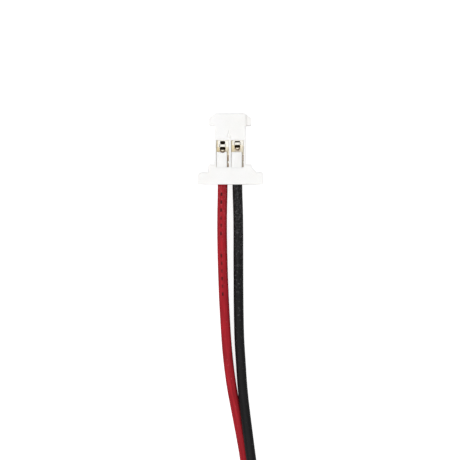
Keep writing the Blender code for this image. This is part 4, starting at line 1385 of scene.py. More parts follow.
    def tall_wall(self) -> list[bpy.types.Object]:
        """Folds the wall that stands beside the tongue: its rear, a bright nick, and a front that narrows.

        Returns:
            The wall's parts, with a hem where the contact sits deeper.
        """
        parts = []
        for ends, inner, finish in WALL_PARTS:
            stations = []
            for place, edge in zip(ends, inner):
                near = edge * MM + 0.3 * self.creep
                half = (self.box_half - near) / 2
                stations.append(Station(self.start + place * MM, (half, 0.30 * MM), 0.02 * MM,
                                        (self.middle + near + half, self.wall_top_z - 0.30 * MM)))
            wall = loft("tall_wall", Way.Y, stations)
            wall.data.materials.append(finish.material())
            parts.append(wall)
        if self.creep:
            hem = loft("hem", Way.Y, [
                Station(self.start + place, (0.15 * self.creep, 0.30 * MM), 0.012 * MM,
                        (self.middle + 0.372 * MM + 0.15 * self.creep, self.wall_top_z - 0.28 * MM))
                for place in (1.50 * MM, 2.70 * MM)])
            hem.data.materials.append(BRIGHT_TIN.material())
            parts.append(hem)
        return parts

    def bright_strap(self) -> bpy.types.Object:
        """Bulges the strap between the two holes.

        Returns:
            The strap.
        """
        middle, half = self.start + sum(self.strap) / 2, (self.strap[1] - self.strap[0]) / 2
        reach, count = self.lock_half_width + 0.04 * MM, 8
        stations = []
        for index in range(count + 1):
            share = 2 * index / count - 1
            height = self.top - 0.03 * MM + 0.05 * MM * (1 - share ** 2)
            stations.append(Station(self.middle + share * reach, (half, 0.05 * MM), 0.045 * MM,
                                    (middle, height)))
        return loft("strap", Way.X, stations)

    def springs(self) -> list[bpy.types.Object]:
        """Bends the two leaves that grip the pin inside the box.

        Returns:
            The two leaves.
        """
        leaves = []
        for side in (-1, 1):
            rings = []
            for share in (0.0, 0.15, 0.35, 0.6, 0.8, 1.0):
                y = self.end - 0.12 * MM - share * 1.5 * MM
                gap = 0.13 * MM + 0.22 * MM * (2 * share - 1) ** 2
                x = self.middle + side * gap
                rings.append([Vector((x + dx * side, y, self.axis_z + dz)) for dx, dz in (
                    (0.0, -0.22 * MM), (0.05 * MM, -0.22 * MM), (0.05 * MM, 0.22 * MM), (0.0, 0.22 * MM))])
            leaves.append(skin("leaf", rings))
        return leaves

    def channel(self) -> bpy.types.Object:
        """Folds the floor and low walls that join the crimps to the box.

        Returns:
            The channel.
        """
        outline = [(-1, 0), (1, 0), (1, 6.6), (0.77, 6.6), (0.77, 1), (-0.77, 1), (-0.77, 9.0), (-1, 9.0)]
        section = [(self.middle + a * self.box_half * 0.995, self.bottom + b * self.sheet)
                   for a, b in outline]
        piece = prism("channel", section, self.start + self.insulation_crimp[1] + 0.06 * MM,
                      self.start + self.box_start + self.sheet, Way.Y)
        return eased(piece, 0.02 * MM, 2)

    def wire_barrel(self) -> bpy.types.Object:
        """Rolls the wire crimp: two lobes that meet in a seam, and a bell at each end.

        Returns:
            The crimp.
        """
        low, high = (self.start + place for place in self.wire_crimp)
        rings = []
        for share, bell in BARREL_SHAPE:
            ring = []
            for index in range(self.barrel_sides):
                angle = 2 * math.pi * index / self.barrel_sides
                off = (angle - math.pi / 2 + math.pi) % (2 * math.pi) - math.pi
                seam = self.seam_depth * math.exp(-(off / self.seam_width) ** 2)
                reach = self.wire_radius + bell * MM - seam
                ring.append(Vector((self.middle + reach * math.cos(angle), low + share * (high - low),
                                    self.axis_z - 0.06 * MM + reach * math.sin(angle))))
            rings.append(ring)
        return skin("wire_barrel", rings)

    def wings(self) -> bpy.types.Object:
        """Rolls the insulation crimp's two wings round the lead.

        Returns:
            The two wings as one shape.
        """
        low, high = (self.start + place for place in self.insulation_crimp)
        outer, gap, count = self.half - 0.01 * MM, self.wing_gap, 28
        inner = outer - self.wing_sheet
        angles = [math.pi / 2 + gap + (2 * math.pi - 2 * gap) * step / count for step in range(count + 1)]
        outline = [(outer, angle) for angle in angles] + [(inner, angle) for angle in reversed(angles)]
        section = [(self.middle + reach * math.cos(angle), self.axis_z + reach * math.sin(angle))
                   for reach, angle in outline]
        return eased(prism("wings", section, low, high, Way.Y), 0.015 * MM, 2, 50.0)

    def build(self) -> bpy.types.Object:
        """Joins the stamped parts, with the strap in bright tin.

        Returns:
            The whole contact.
        """
        strap = self.bright_strap()
        parts = [*self.springs(), self.channel(), self.wire_barrel(), self.wings()]
        for part in parts:
            part.data.materials.append(PLATED_BRONZE.material())
        parts += [self.stop_cup(), *self.tall_wall()]
        strap.data.materials.append(BRIGHT_TIN.material())
        piece = shaded(joined(self.node + "_stamping", [self.plated(self.box()), *parts, strap]))
        return fitted(piece, None, [self.node])


@dataclass
class Strands:
    """The bared end of a lead, where its twisted wires show."""

    node: str
    bundle: StrandBundle
    radius: float = 0.19 * MM
    turn_rate: float = 900.0
    step: float = 0.06 * MM

    def build(self) -> bpy.types.Object:
        """Twists the wires along the CAD node's middle line.

        Returns:
            The strands.
        """
        low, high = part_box(self.node)
        x, z = (low.x + high.x) / 2, (low.z + high.z) / 2
        mesh = bpy.data.meshes.new(self.node)
        mesh.from_pydata([(x, low.y - 0.01 * MM, z), (x, high.y, z)], [(0, 1)], [])
        piece = self.bundle.grow(new_piece(self.node + "_wires", mesh), TINNED_WIRE,
                                 Strand_Radius=self.radius / 3, Turn_Rate=self.turn_rate, Step=self.step)
        return fitted(piece, None, [self.node])


# ----------------------------------------------------------------------------------------------- pack


class DotField(Growth):
    """Low round dots on a grid, as a seal's pressed pattern, weld marks or plated holes."""

    def __init__(self) -> None:
        """Builds the tree: a grid of points, with a flattened ball on each."""
        super().__init__("dot_field", {
            "Length": "NodeSocketFloat", "Width": "NodeSocketFloat", "Columns": "NodeSocketInt",
            "Rows": "NodeSocketInt", "Dot Radius": "NodeSocketFloat", "Dot Height": "NodeSocketFloat"})
        grid = self.add("GeometryNodeMeshGrid", {
            "Size X": self.inputs["Length"], "Size Y": self.inputs["Width"],
            "Vertices X": self.inputs["Columns"], "Vertices Y": self.inputs["Rows"]})
        ball = self.add("GeometryNodeMeshUVSphere", {
            "Segments": 10, "Rings": 6, "Radius": self.inputs["Dot Radius"]})
        share = worked(self.tree, "DIVIDE", self.inputs["Dot Height"], self.inputs["Dot Radius"])
        flat = self.add("ShaderNodeCombineXYZ", {"X": 1.0, "Y": 1.0, "Z": share})
        dots = self.add("GeometryNodeInstanceOnPoints", {
            "Points": grid.outputs["Mesh"], "Instance": ball.outputs["Mesh"],
            "Scale": flat.outputs["Vector"]})
        self.close(dots.outputs["Instances"])

    def field(self, name: str, finish: Finish, place: Matrix, length: float, width: float, columns: int,
              rows: int, radius: float, height: float) -> bpy.types.Object:
        """Grows one field of dots and puts it in place.

        Args:
            name: The piece's name.
            finish: The dots' surface.
            place: Where the grid's middle goes, and which way it faces.
            length: Between the first and the last column.
            width: Between the first and the last row.
            columns: How many along the length.
            rows: How many along the width.
            radius: Of a dot.
            height: Of a dot above the grid.

        Returns:
            The dots as one mesh.
        """
        piece = self.grow(new_piece(name, bpy.data.meshes.new(name)), finish, Length=length, Width=width,
                          Columns=columns, Rows=rows, Dot_Radius=radius, Dot_Height=height)
        piece.data.transform(place)
        return piece


class PinRow(Growth):
    """A row of equal bent pins."""

    def __init__(self) -> None:
        """Builds the tree: the input pin, set along a line."""
        super().__init__("pin_row", {"Count": "NodeSocketInt", "Pitch": "NodeSocketFloat"})
        offset = self.add("ShaderNodeCombineXYZ", {"X": self.inputs["Pitch"]})
        line = self.add("GeometryNodeMeshLine", {
            "Count": self.inputs["Count"], "Offset": offset.outputs["Vector"]}, mode="OFFSET")
        pins = self.add("GeometryNodeInstanceOnPoints", {
            "Points": line.outputs["Mesh"], "Instance": self.inputs["Geometry"]})
        self.close(pins.outputs["Instances"])


def round_rectangle(half: Pair, radius: float, count: int) -> list[Pair]:
    """Returns points at even steps round a rounded rectangle.

    Args:
        half: Half its size each way.
        radius: Of its corners.
        count: How many points.

    Returns:
        The points, anticlockwise from the middle of its right side.
    """
    corners = Station(0.0, half, radius, steps=8).ring(Way.Z)
    ring = [Vector((half[0], 0.0, 0.0)), *corners, Vector((half[0], 0.0, 0.0))]
    lengths = [0.0]
    for first, second in zip(ring, ring[1:]):
        lengths.append(lengths[-1] + (second - first).length)
    points, cursor = [], 0
    for index in range(count):
        wanted = lengths[-1] * index / count
        while lengths[cursor + 1] < wanted:
            cursor += 1
        share = (wanted - lengths[cursor]) / max(lengths[cursor + 1] - lengths[cursor], 1e-12)
        point = ring[cursor].lerp(ring[cursor + 1], share)
        points.append((point.x, point.y))
    return points


def ripple(point: Vector, size: float, seed: float) -> float:
    """Returns a soft unevenness from -1 to 1 at a point, the same each run."""
    return noise.fractal(point / size + Vector((seed, seed * 1.7, seed * 2.3)), 1.0, 2.0, 3)


@dataclass
class Pouch:
    """Laminated foil pouch: drawn cup, flat cover with side seals folded up, sealed terrace in front."""

    dots: DotField
    terrace_length: float = 4.0 * MM
    laminate: float = 0.15 * MM
    cover: float = 0.12 * MM
    seal: float = 0.30 * MM
    seal_height: float = 3.2 * MM
    corner: float = 1.3 * MM
    edge: float = 0.8 * MM
    around: int = 240
    dent: float = 0.045 * MM
    terrace_inset: float = 0.65 * MM
    terrace_top: float = 0.70 * MM
    terrace_radius: float = 0.45 * MM

    def __post_init__(self) -> None:
        """Reads the pouch's place from its CAD nodes."""
        self.cup_low, self.cup_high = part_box("pouch_cup")
        self.low, self.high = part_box("pouch_cover")
        self.front = self.cup_high.y - self.terrace_length

    def cup_rings(self) -> list[list[Vector]]:
        """Returns rings from the middle of the cup's top face, over its edge and down its walls.

        Returns:
            The rings, each with the same count of points.
        """
        half = ((self.cup_high.x - self.cup_low.x) / 2, (self.front - self.cup_low.y) / 2)
        middle = Vector((0.0, (self.front + self.cup_low.y) / 2, 0.0))
        top, bottom = self.cup_high.z, self.cup_low.z
        levels = [(inset * (half[0] - 0.15 * MM) / 26, top) for inset in range(26, 0, -1)
                  if inset * (half[0] - 0.15 * MM) / 26 > self.edge]
        levels += [(self.edge * (1 - math.sin(angle)), top - self.edge * (1 - math.cos(angle)))
                   for angle in (math.pi / 2 * step / 7 for step in range(8))]
        levels += [(0.0, bottom + (top - self.edge - bottom) * (1 - step / 12)) for step in range(1, 13)]
        rings = []
        for inset, height in levels:
            size = (half[0] - inset, half[1] - inset)
            radius = min(max(self.corner - inset * 0.6, 0.1 * MM), size[0] * 0.95)
            ring = []
            for x, y in round_rectangle(size, radius, self.around):
                point = middle + Vector((x, y, height))
                flat = 1.0 if inset > self.edge else 0.6
                wave = ripple(point, 4.2 * MM, 3.0) + 0.5 * ripple(point, 1.3 * MM, 7.0) - 0.5
                sink = self.dent * flat * wave
                inward = Vector((x, y, 0.0)).normalized()
                point += Vector((0.0, 0.0, sink)) if inset > 0.0 else inward * sink
                ring.append(point)
            rings.append(ring)
        return rings

    def build_cup(self) -> bpy.types.Object:
        """Draws the cup, gives it its wall and joins the upper sheet of the terrace.

        Returns:
            The cup with the terrace's upper sheet.
        """
        cup = skin("pouch_drawn_cup", self.cup_rings(), caps=(True, False))
        wall = cup.modifiers.new("wall", "SOLIDIFY")
        wall.thickness = self.laminate
        wall.offset = -1.0
        applied(cup)
        half_x, y = self.cup_high.x - self.terrace_inset, (self.front + self.cup_high.y) / 2
        reach, top = (self.cup_high.y - self.front) / 2, self.terrace_top
        terrace = loft("terrace", Way.Z, [
            Station(z, (half_x - inset, reach - inset), self.terrace_radius, (0.0, y))
            for z, inset in ((0.255 * MM, 0.0), (top - 0.06 * MM, 0.0), (top, 0.06 * MM))])
        cup.data.shade_smooth()
        piece = shaded(joined("pouch_drawn_cup", [cup, terrace]), 50.0)
        return fitted(piece, POUCH_FOIL, ["pouch_cup"])

    def build_cover(self) -> bpy.types.Object:
        """Folds the flat cover's two side seals up along the cup, and joins the terrace's lower sheet.

        Returns:
            The cover with the terrace's lower sheet.
        """
        half, inner, fold = self.high.x, self.high.x - self.seal, 0.35 * MM
        right = [(half, self.seal_height)]
        right += [(half - fold * (1 - math.cos(angle)), fold * (1 - math.sin(angle)))
                  for angle in (math.pi / 2 * step / 6 for step in range(7))]
        inside = [(inner - 0.20 * MM, self.cover), (inner - 0.06 * MM, self.cover + 0.06 * MM),
                  (inner, self.cover + 0.22 * MM), (inner, self.seal_height)]
        outline = right + [(-x, z) for x, z in reversed(right)]
        outline += [(-x, z) for x, z in reversed(inside)] + inside
        rings = []
        for step in range(61):
            y = self.low.y + (self.front - self.low.y) * step / 60
            ring = []
            for x, z in outline:
                share = z / self.seal_height
                lean = 0.03 * MM * share * (ripple(Vector((x, y, 0.0)), 3.5 * MM, 11.0) - 1.0)
                drop = 0.06 * MM * (share > 0.9) * (ripple(Vector((x, y, 0.0)), 2.2 * MM, 13.0) - 1.0)
                ring.append(Vector((x + math.copysign(lean, x), y, z + drop)))
            rings.append(ring)
        sheet = skin("pouch_folded_cover", rings)
        half_x, reach = self.cup_high.x - self.terrace_inset, (self.cup_high.y - self.front) / 2 + 0.05 * MM
        terrace = loft("terrace", Way.Z, [
            Station(z, (half_x, reach), self.terrace_radius, (0.0, self.cup_high.y - reach))
            for z in (0.12 * MM, 0.12 * MM + self.cover)])
        piece = shaded(joined("pouch_folded_cover", [sheet, terrace]), 40.0)
        return fitted(piece, POUCH_FOIL, ["pouch_cover"])

    def build_seal_marks(self) -> bpy.types.Object:
        """Presses the heat seal's dots into both side seals and the terrace.

        Returns:
            All the dots as one piece.
        """
        middle, length = (self.front + self.low.y) / 2, self.front - self.low.y - 1.2 * MM
        fields = []
        for side in (-1, 1):
            turn = Matrix.Rotation(math.radians(90.0), 4, "Z") @ Matrix.Rotation(math.radians(90.0), 4, "X")
            place = Matrix.Translation((side * (self.high.x - 0.035 * MM), middle, 1.85 * MM)) @ turn
            fields.append(self.dots.field("seal_marks", POUCH_FOIL, place, length, 1.9 * MM, 62, 5,
                                          0.13 * MM, 0.05 * MM))
        place = Matrix.Translation((0.0, self.front + 0.36 * MM, self.terrace_top))
        fields.append(self.dots.field("seal_marks", POUCH_FOIL, place, 17.2 * MM, 0.25 * MM, 44, 2,
                                      0.11 * MM, 0.03 * MM))
        return fitted(joined("pouch_seal_marks", fields), None)


@dataclass
class Label:
    """Plain printed label on the cell's top face."""

    node: str = "plain_label"
    radius: float = 0.8 * MM
    lift: float = 0.02 * MM
    wave: float = 0.006 * MM
    sunk: float = 0.03 * MM

    def build(self) -> bpy.types.Object:
        """Lays the paper, which lifts very slightly at its rim.

        Returns:
            The label.
        """
        low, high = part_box(self.node)
        half = ((high.x - low.x) / 2, (high.y - low.y) / 2)
        middle = Vector(((low.x + high.x) / 2, (low.y + high.y) / 2, 0.0))
        rings = []
        levels = [(inset * half[0] / 15, high.z - self.lift) for inset in range(14, 0, -1)]
        for inset, height in [*levels, (0.0, high.z), (0.0, low.z - self.sunk)]:
            size = (half[0] - inset, half[1] - inset)
            radius = max(self.radius - inset * 0.5, 0.05 * MM)
            ring = []
            for x, y in round_rectangle(size, radius, 160):
                rise = self.wave * ripple(Vector((x, y, 0.0)), 3.0 * MM, 5.0)
                ring.append(middle + Vector((x, y, height + rise)))
            rings.append(ring)
        rings.append([middle + (point - middle) * 0.5 for point in rings[-1]])
        for point in rings[-1]:
            point.z = low.z - self.sunk
        piece = shaded(skin("printed_label", rings), 60.0)
        return fitted(piece, LABEL_PAPER, [self.node])


@dataclass
class HeadTape:
    """Amber tape over the board: from the cell's top face, down in front and under the terrace."""

    pouch: Pouch
    node: str = "head_tape"
    film: float = 0.06 * MM
    overlap: float = 3.0 * MM
    bend: float = 0.35 * MM
    columns: int = 90
    wrinkle: float = 0.05 * MM
    lead_holes: Pair = (-1.1 * MM, 1.1 * MM)
    lead_z: float = 2.0 * MM
    shoulder: float = 3.03 * MM
    step: float = 0.16 * MM

    def path(self) -> list[Pair]:
        """Returns the tape's line in y and z, from the cell's top to under the terrace.

        Returns:
            Close points, from the top to the underside.
        """
        low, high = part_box(self.node)
        start, front = self.pouch.front, high.y - self.film
        top, bottom, shoulder = high.z - self.film, low.z + self.film / 2, self.shoulder
        run, drop = front - self.bend * 2 - start, top - shoulder
        knots = [(start - self.overlap, top), (start - 1.6 * MM, top), (start - 0.75 * MM, top),
                 (start - 0.1 * MM, top - 0.10 * MM), (start + 0.28 * run, shoulder + 0.62 * drop),
                 (start + 0.62 * run, shoulder + 0.23 * drop), (start + run, shoulder + 0.02 * drop)]
        for angle in (60.0, 30.0, 0.0):
            turn = math.radians(angle)
            knots.append((front - self.bend + self.bend * math.cos(turn),
                          shoulder - self.bend + self.bend * math.sin(turn)))
        knots.append((front, 1.5 * MM))
        for angle in (0.0, -45.0, -90.0):
            turn = math.radians(angle)
            knots.append((front - self.bend + self.bend * math.cos(turn),
                          bottom + self.bend + self.bend * math.sin(turn)))
        knots += [(14.0 * MM, bottom), (start + 0.22 * MM, bottom)]
        points = []
        for first, second in zip(knots, knots[1:]):
            count = max(1, round(math.dist(first, second) / self.step))
            points += [tuple(a + (b - a) * step / count for a, b in zip(first, second))
                       for step in range(count)]
        return [*points, knots[-1]]

    def build(self) -> bpy.types.Object:
        """Lays the film with its wrinkles, and pierces it for the leads.

        Returns:
            The tape.
        """
        low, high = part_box(self.node)
        half = high.x - 0.02 * MM
        rows = []
        for y, z in self.path():
            loose = min(max((y - self.pouch.front) / (1.2 * MM), 0.0), 1.0) if z > 1.0 * MM else 0.0
            row = []
            for column in range(self.columns + 1):
                x = half * (2 * column / self.columns - 1)
                spot = Vector((x, y * 0.5, z * 0.5))
                fold = self.wrinkle * loose * (ripple(spot, 1.6 * MM, 17.0) - 0.6)
                row.append(Vector((x, y + fold * (z < 2.9 * MM), z + fold * (z >= 2.9 * MM))))
            rows.append(row)
        piece = skin("amber_head_tape", rows, closed=False)
        wall = piece.modifiers.new("film", "SOLIDIFY")
        wall.thickness = self.film
        wall.offset = 0.0
        applied(piece)
        holes = [loft("hole_tool", Way.Y, [
            Station(high.y + reach, (0.46 * MM, 0.46 * MM), 0.459 * MM, (x, self.lead_z), steps=6)
            for reach in (-0.9 * MM, 0.9 * MM)]) for x in self.lead_holes]
        cut(piece, *holes)
        return fitted(shaded(piece, 50.0), AMBER_FILM, [self.node])


@dataclass
class Chip:
    """Six-pin package: drafted resin body with a moulded dimple, and two rows of bent pins."""

    node: str
    pins: PinRow
    half: Pair = (1.45 * MM, 0.80 * MM)
    draft: float = 0.07 * MM
    pitch: float = 0.95 * MM
    pin_width: float = 0.36 * MM
    pin_sheet: float = 0.12 * MM
    reach: float = 0.55 * MM

    def pin(self, side: int) -> bpy.types.Object:
        """Bends the first pin of one row.

        Args:
            side: Which row: -1 towards the cell, 1 towards the plug.

        Returns:
            The whole row of pins.
        """
        exit_z, foot_z, sheet = self.base + 0.55 * MM, self.base + 0.07 * MM, self.pin_sheet
        start, knee, tip = self.half[1] - 0.1 * MM, self.half[1] + 0.16 * MM, self.half[1] + self.reach
        outline = [(start, exit_z), (knee, exit_z), (knee + 0.10 * MM, exit_z - 0.06 * MM),
                   (knee + 0.16 * MM, foot_z + 0.06 * MM), (knee + 0.22 * MM, foot_z), (tip, foot_z),
                   (tip, foot_z - sheet), (knee + 0.12 * MM, foot_z - sheet), (knee + 0.04 * MM, foot_z),
                   (knee, exit_z - sheet - 0.04 * MM), (knee - 0.04 * MM, exit_z - sheet),
                   (start, exit_z - sheet)]
        left = self.middle.x - self.pitch - self.pin_width / 2
        section = [(self.middle.y + side * y, z) for y, z in outline]
        row = eased(prism("pin_row", section, left, left + self.pin_width, Way.X), 0.015 * MM, 2)
        return self.pins.grow(row, BRIGHT_TIN, Count=3, Pitch=self.pitch)

    def build(self) -> bpy.types.Object:
        """Moulds the body and sets its pins.

        Returns:
            The package with its pins.
        """
        low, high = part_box(self.node)
        self.middle, self.base = (low + high) / 2, low.z
        middle = (self.middle.x, self.middle.y)
        waist = self.base + 0.5 * MM
        body = loft("body", Way.Z, [
            Station(z, (self.half[0] - inset, self.half[1] - inset), 0.07 * MM, middle)
            for z, inset in ((self.base + 0.08 * MM, self.draft), (waist, 0.0), (waist + 0.05 * MM, 0.0),
                             (high.z - 0.04 * MM, self.draft), (high.z, self.draft + 0.04 * MM))])
        spot = (middle[0] - self.half[0] + 0.45 * MM, middle[1] - self.half[1] + 0.42 * MM)
        cut(body, loft("dimple_tool", Way.Z, [
            Station(high.z + rise, (size, size), size * 0.99, spot, steps=5)
            for rise, size in ((-0.05 * MM, 0.12 * MM), (0.03 * MM, 0.17 * MM))]))
        body.data.materials.append(MARKED_RESIN.material())
        piece = shaded(joined(self.node + "_package", [body, self.pin(-1), self.pin(1)]))
        return fitted(piece, None, [self.node])


@dataclass
class Passive:
    """Chip resistor or capacitor with plated ends in small solder fillets."""

    node: str
    slot: str
    finish: Finish
    cap: float = 0.24 * MM

    def build(self) -> bpy.types.Object:
        """Builds the ceramic, its plated ends and their fillets.

        Returns:
            The part with its solder.
        """
        low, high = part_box(self.node)
        middle, half = (low + high) / 2, (high - low) / 2
        centre = (middle.x, middle.z)
        body = loft("ceramic", Way.Y, [
            Station(y, (half.x - 0.02 * MM, half.z - 0.02 * MM), 0.03 * MM, centre)
            for y in (low.y + 0.05 * MM, high.y - 0.05 * MM)])
        body.data.materials.append(self.finish.material())
        parts = [body]
        for side, end in ((1, low.y), (-1, high.y)):
            cap = loft("cap", Way.Y, [
                Station(end + side * y, (half.x - inset, half.z - inset), 0.06 * MM, centre)
                for y, inset in ((0.0, 0.05 * MM), (0.04 * MM, 0.0), (self.cap, 0.0))])
            fillet = loft("fillet", Way.Z, [
                Station(low.z + z, (half.x + grow, 0.12 * MM + grow), 0.05 * MM,
                        (middle.x, end + side * 0.04 * MM))
                for z, grow in ((0.0, 0.12 * MM), (0.05 * MM, 0.05 * MM), (0.16 * MM, 0.01 * MM))])
            for part in (cap, fillet):
                part.data.materials.append(TIN_SOLDER.material())
            parts += [cap, fillet]
        return fitted(shaded(joined(self.node + "_part", parts)), None, [self.node])


# A solder joint's outline: share of its height, and share of its width there.
JOINT_SHAPE = (
    (0.0, 1.0), (0.04, 0.95), (0.12, 0.88), (0.30, 0.84), (0.50, 0.82),
    (0.68, 0.76), (0.82, 0.63), (0.92, 0.44), (0.98, 0.22), (1.0, 0.06),
)


@dataclass
class SolderJoint:
    """Solder that has wetted a pad and drawn up round a lead's strands."""

    node: str
    roundness: float = 0.92
    wave: float = 0.03

    def build(self) -> bpy.types.Object:
        """Builds the drop: a wide foot, a drawn-in waist and a round top.

        Returns:
            The drop.
        """
        low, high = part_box(self.node)
        middle, half = (low + high) / 2, (high - low) / 2
        rings = []
        for rise, share in JOINT_SHAPE:
            z = low.z + rise * (high.z - low.z)
            size, radius = (half.x * share, half.y * share), min(half.x, half.y) * share * self.roundness
            ring = []
            for x, y in round_rectangle(size, radius, 48):
                wave = 1 + self.wave * ripple(Vector((x, y, z)), 0.5 * MM, 23.0)
                ring.append(Vector((middle.x + x * wave, middle.y + y * wave, z)))
            rings.append(ring)
        return fitted(shaded(skin(self.node + "_drop", rings), 70.0), TIN_SOLDER, [self.node])


@dataclass
class Board:
    """Protection board: masked glass epoxy with bare pads, plated holes, chips, passives and weld marks."""

    dots: DotField
    pins: PinRow
    pad_side: float = 1.1 * MM
    hole_side: float = 1.95 * MM
    corner: float = 0.22 * MM
    eased_edge: float = 0.03 * MM
    tab_top: float = 0.135 * MM

    def build_laminate(self) -> bpy.types.Object:
        """Routs the board, with its cut edges a little eased, and lays pads and plated holes on it.

        Returns:
            The board with its pads and holes.
        """
        low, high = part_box("protection_board")
        middle, half = (low + high) / 2, (high - low) / 2
        slab = loft("board", Way.Z, [
            Station(z, (half.x - inset, half.y - inset), self.corner, (middle.x, middle.y))
            for z, inset in ((low.z, self.eased_edge), (low.z + self.eased_edge, 0.0),
                             (high.z - self.eased_edge, 0.0), (high.z, self.eased_edge))])
        slab.data.materials.append(BOARD_MASK.material())
        parts = [slab]
        pads = [(x, 0.0, 0.55 * MM, 1.25 * MM) for x in (-self.pad_side, self.pad_side)]
        for node in ("protection_chip", "switch_transistor"):
            chip_low, chip_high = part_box(node)
            x = (chip_low.x + chip_high.x) / 2
            pads += [(x + column * Chip.pitch, side * 1.12 * MM, 0.24 * MM, 0.26 * MM)
                     for column in (-1, 0, 1) for side in (-1, 1)]
        for x, y, half_x, half_y in pads:
            pad = loft("pad", Way.Z, [Station(high.z + z, (half_x, half_y), 0.06 * MM, (x, middle.y + y))
                                      for z in (-0.01 * MM, 0.02 * MM)])
            pad.data.materials.append(TIN_SOLDER.material())
            parts.append(pad)
        for x in (-self.hole_side, self.hole_side, 0.0):
            place = Matrix.Translation((x, middle.y + 0.55 * MM * (x == 0.0) + 0.1 * MM, high.z))
            width, columns, rows = 1.7 * MM * (x != 0.0) + 0.3 * MM, 1 if x else 3, 5 if x else 1
            parts.append(self.dots.field("plated_holes", PLATED_BRONZE, place, 0.30 * MM, width,
                                         columns, rows, 0.09 * MM, 0.025 * MM))
        return fitted(shaded(joined("masked_board", parts)), None, ["protection_board"])

    def build_weld_marks(self, pole: str) -> bpy.types.Object:
        """Adds the weld's dimples on a tab's end over its pad.

        Args:
            pole: Positive or negative.

        Returns:
            The marks.
        """
        low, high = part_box(pole + "_tab_pad")
        middle = (low + high) / 2
        place = Matrix.Translation((middle.x, middle.y - 0.1 * MM, high.z + self.tab_top))
        finish, slot = NICKEL_STRIP, "tab_nickel"
        if pole == "positive":
            finish, slot = ALUMINIUM_STRIP, "tab_aluminium"
        marks = self.dots.field(pole + "_weld_marks", finish, place, 1.5 * MM, 1.1 * MM, 4, 3,
                                0.14 * MM, 0.035 * MM)
        return fitted(marks, None)

    def build(self) -> None:
        """Builds the board and everything on it."""
        self.build_laminate()
        for node in ("protection_chip", "switch_transistor"):
            Chip(node, self.pins).build()
        for node in ("filter_resistor", "sense_resistor"):
            Passive(node, "resistor_ceramic", GLASSED_CERAMIC).build()
        Passive("filter_capacitor", "capacitor_ceramic", BARIUM_CERAMIC).build()
        for pole in ("positive", "negative"):
            SolderJoint(pole + "_solder_joint").build()
            self.build_weld_marks(pole)


# The CAD nodes that are shown as they are, each with its real surface.
KEPT_NODES = {
    "cathode_foil": CATHODE_PASTE,
    "anode_foil": ANODE_PASTE,
    "inner_separator": SEPARATOR_FILM,
    "outer_separator": SEPARATOR_FILM,
    "positive_tab": ALUMINIUM_STRIP,
    "negative_tab": NICKEL_STRIP,
    "positive_tab_pad": NICKEL_STRIP,
    "negative_tab_pad": NICKEL_STRIP,
    "positive_tab_film": TAB_RESIN,
    "negative_tab_film": TAB_RESIN,
    "board_insulator": FISH_PAPER,
}


def dress_kept_nodes() -> None:
    """Gives each CAD node that is shown as it is its real surface."""
    for name, finish in KEPT_NODES.items():
        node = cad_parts[name]
        node.data.materials.clear()
        node.data.materials.append(finish.material())
        LOG.info("%s: kept, in %s", name, finish.name)


# ---------------------------------------------------------------------------------------------- stage


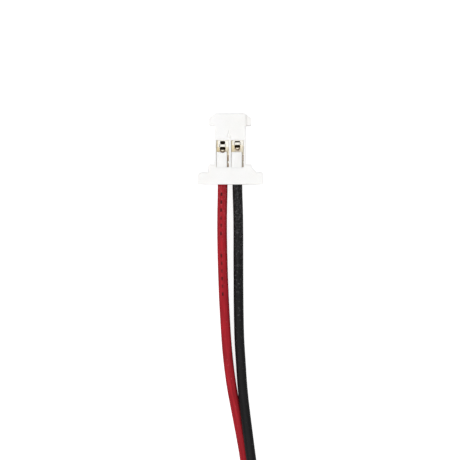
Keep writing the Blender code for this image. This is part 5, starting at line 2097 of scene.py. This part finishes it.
@dataclass
class Studio:
    """Pale floor, soft lights and the camera."""

    floor_half: float = 1.2
    floor_z: float = -0.02 * MM
    look_at: Point = (-3.3 * MM, 51.136 * MM, 2.3 * MM)
    view_width: float = 38.98 * MM
    camera_height: float = 0.45
    sensor: float = 36.0
    zenith: float = 1.36
    horizon: float = 0.26
    backdrop: float = 0.985
    glow: float = 0.75
    key_place: Point = (-0.34, -0.30, 0.42)
    key_size: float = 0.25
    key_power: float = 1.5

    def floor(self) -> None:
        """Lays the floor, which glows a little so that it stays pale."""
        reach, z = self.floor_half, self.floor_z
        mesh = bpy.data.meshes.new("floor")
        mesh.from_pydata([(-reach, -reach, z), (reach, -reach, z), (reach, reach, z), (-reach, reach, z)], [],
                         [(0, 1, 2, 3)])
        piece = new_piece("studio_floor", mesh)
        made = bpy.data.materials.new("paper_sweep_matt")
        made.use_nodes = True
        tree = made.node_tree
        tree.nodes.clear()
        seen = add_node(tree, "ShaderNodeLightPath").outputs["Is Camera Ray"]
        glow = worked(tree, "MULTIPLY", seen, self.glow)
        shader = add_node(tree, "ShaderNodeBsdfPrincipled", {
            "Base Color": linear("D2D2D2"), "Roughness": 0.9, "Specular IOR Level": 0.1,
            "Emission Color": linear("FFFFFF"), "Emission Strength": glow})
        add_node(tree, "ShaderNodeOutputMaterial", {"Surface": shader.outputs["BSDF"]})
        mesh.materials.append(made)

    def light(self, name: str, place: Point, size: float, power: float) -> None:
        """Hangs one square soft light that faces the plug.

        Args:
            name: The lamp's name.
            place: Where it hangs.
            size: Its width.
            power: In watts.
        """
        data = bpy.data.lights.new(name, "AREA")
        data.shape = "SQUARE"
        data.size = size
        data.energy = power
        lamp = bpy.data.objects.new(name, data)
        lamp.location = place
        lamp.rotation_euler = (Vector(self.look_at) - Vector(place)).to_track_quat("-Z", "Y").to_euler()
        bpy.context.scene.collection.objects.link(lamp)

    def sky(self) -> None:
        """Fills the room with soft light that is brightest overhead, in front of a pale backdrop."""
        world = bpy.data.worlds.new("pale_room")
        bpy.context.scene.world = world
        world.use_nodes = True
        tree = world.node_tree
        tree.nodes.clear()
        direction = add_node(tree, "ShaderNodeTexCoord").outputs["Generated"]
        height = add_node(tree, "ShaderNodeSeparateXYZ", {0: direction}).outputs["Z"]
        square = worked(tree, "POWER", height, 2.0)
        light = ranged(tree, square, (0.0, 1.0), (self.horizon, self.zenith))
        seen = add_node(tree, "ShaderNodeLightPath").outputs["Is Camera Ray"]
        level = add_node(tree, "ShaderNodeMix", {0: seen, 2: light, 3: self.backdrop}, data_type="FLOAT")
        back = add_node(tree, "ShaderNodeBackground", {
            "Color": linear("FFFFFF"), "Strength": level.outputs[0]})
        add_node(tree, "ShaderNodeOutputWorld", {"Surface": back.outputs["Background"]})

    def camera(self) -> None:
        """Sets the camera straight above the plug, with its top towards +Y."""
        data = bpy.data.cameras.new("overhead")
        data.sensor_width = self.sensor
        data.lens = self.sensor * self.camera_height / self.view_width
        data.clip_start = 0.005
        data.clip_end = 10.0
        item = bpy.data.objects.new("overhead", data)
        item.location = Vector(self.look_at) + Vector((0.0, 0.0, self.camera_height))
        bpy.context.scene.collection.objects.link(item)
        bpy.context.scene.camera = item

    def build(self) -> None:
        """Sets up the whole studio."""
        self.camera()
        self.floor()
        self.sky()
        self.light("key", self.key_place, self.key_size, self.key_power)
        bpy.context.scene.view_settings.view_transform = "Standard"


def main() -> None:
    """Builds the studio, the leads, the plug and the pack in order."""
    logging.basicConfig(level=logging.INFO, format="%(message)s", stream=sys.stdout)
    Studio().build()
    leads = [
        Lead("positive", "red_lead", "red_insulation", RED_PVC, RED_ROUTE, 42.5 * MM),
        Lead("negative", "black_lead", "black_insulation", BLACK_PVC, BLACK_ROUTE, 42.6 * MM),
    ]
    housing = Housing()
    shell = housing.build()
    bundle = StrandBundle()
    for side, lead, creep in zip((-1, 1), leads, (0.0, 0.17 * MM)):
        insulation = lead.build()
        cup = Cup(housing.middle + side * housing.pitch / 2,
                  housing.start + 2.93 * MM + 1.05 * creep, 0.25 * MM)
        contact = Contact(lead.pole, housing, cup, creep).build()
        tang = Tang(lead.pole, cup).build()
        strands = Strands(lead.pole + "_crimp_strands", bundle).build()
        Strands(lead.pole + "_board_strands", bundle).build()
        exit_point = (side * 1.1 * MM, 16.5 * MM, 2.0 * MM)
        lead.declare(insulation, exit_point, [shell, contact, tang, strands])
    dots, pins = DotField(), PinRow()
    pouch = Pouch(dots)
    pouch.build_cup()
    pouch.build_cover()
    pouch.build_seal_marks()
    Label().build()
    HeadTape(pouch).build()
    Board(dots, pins).build()
    dress_kept_nodes()


if __name__ == "__main__":
    main()
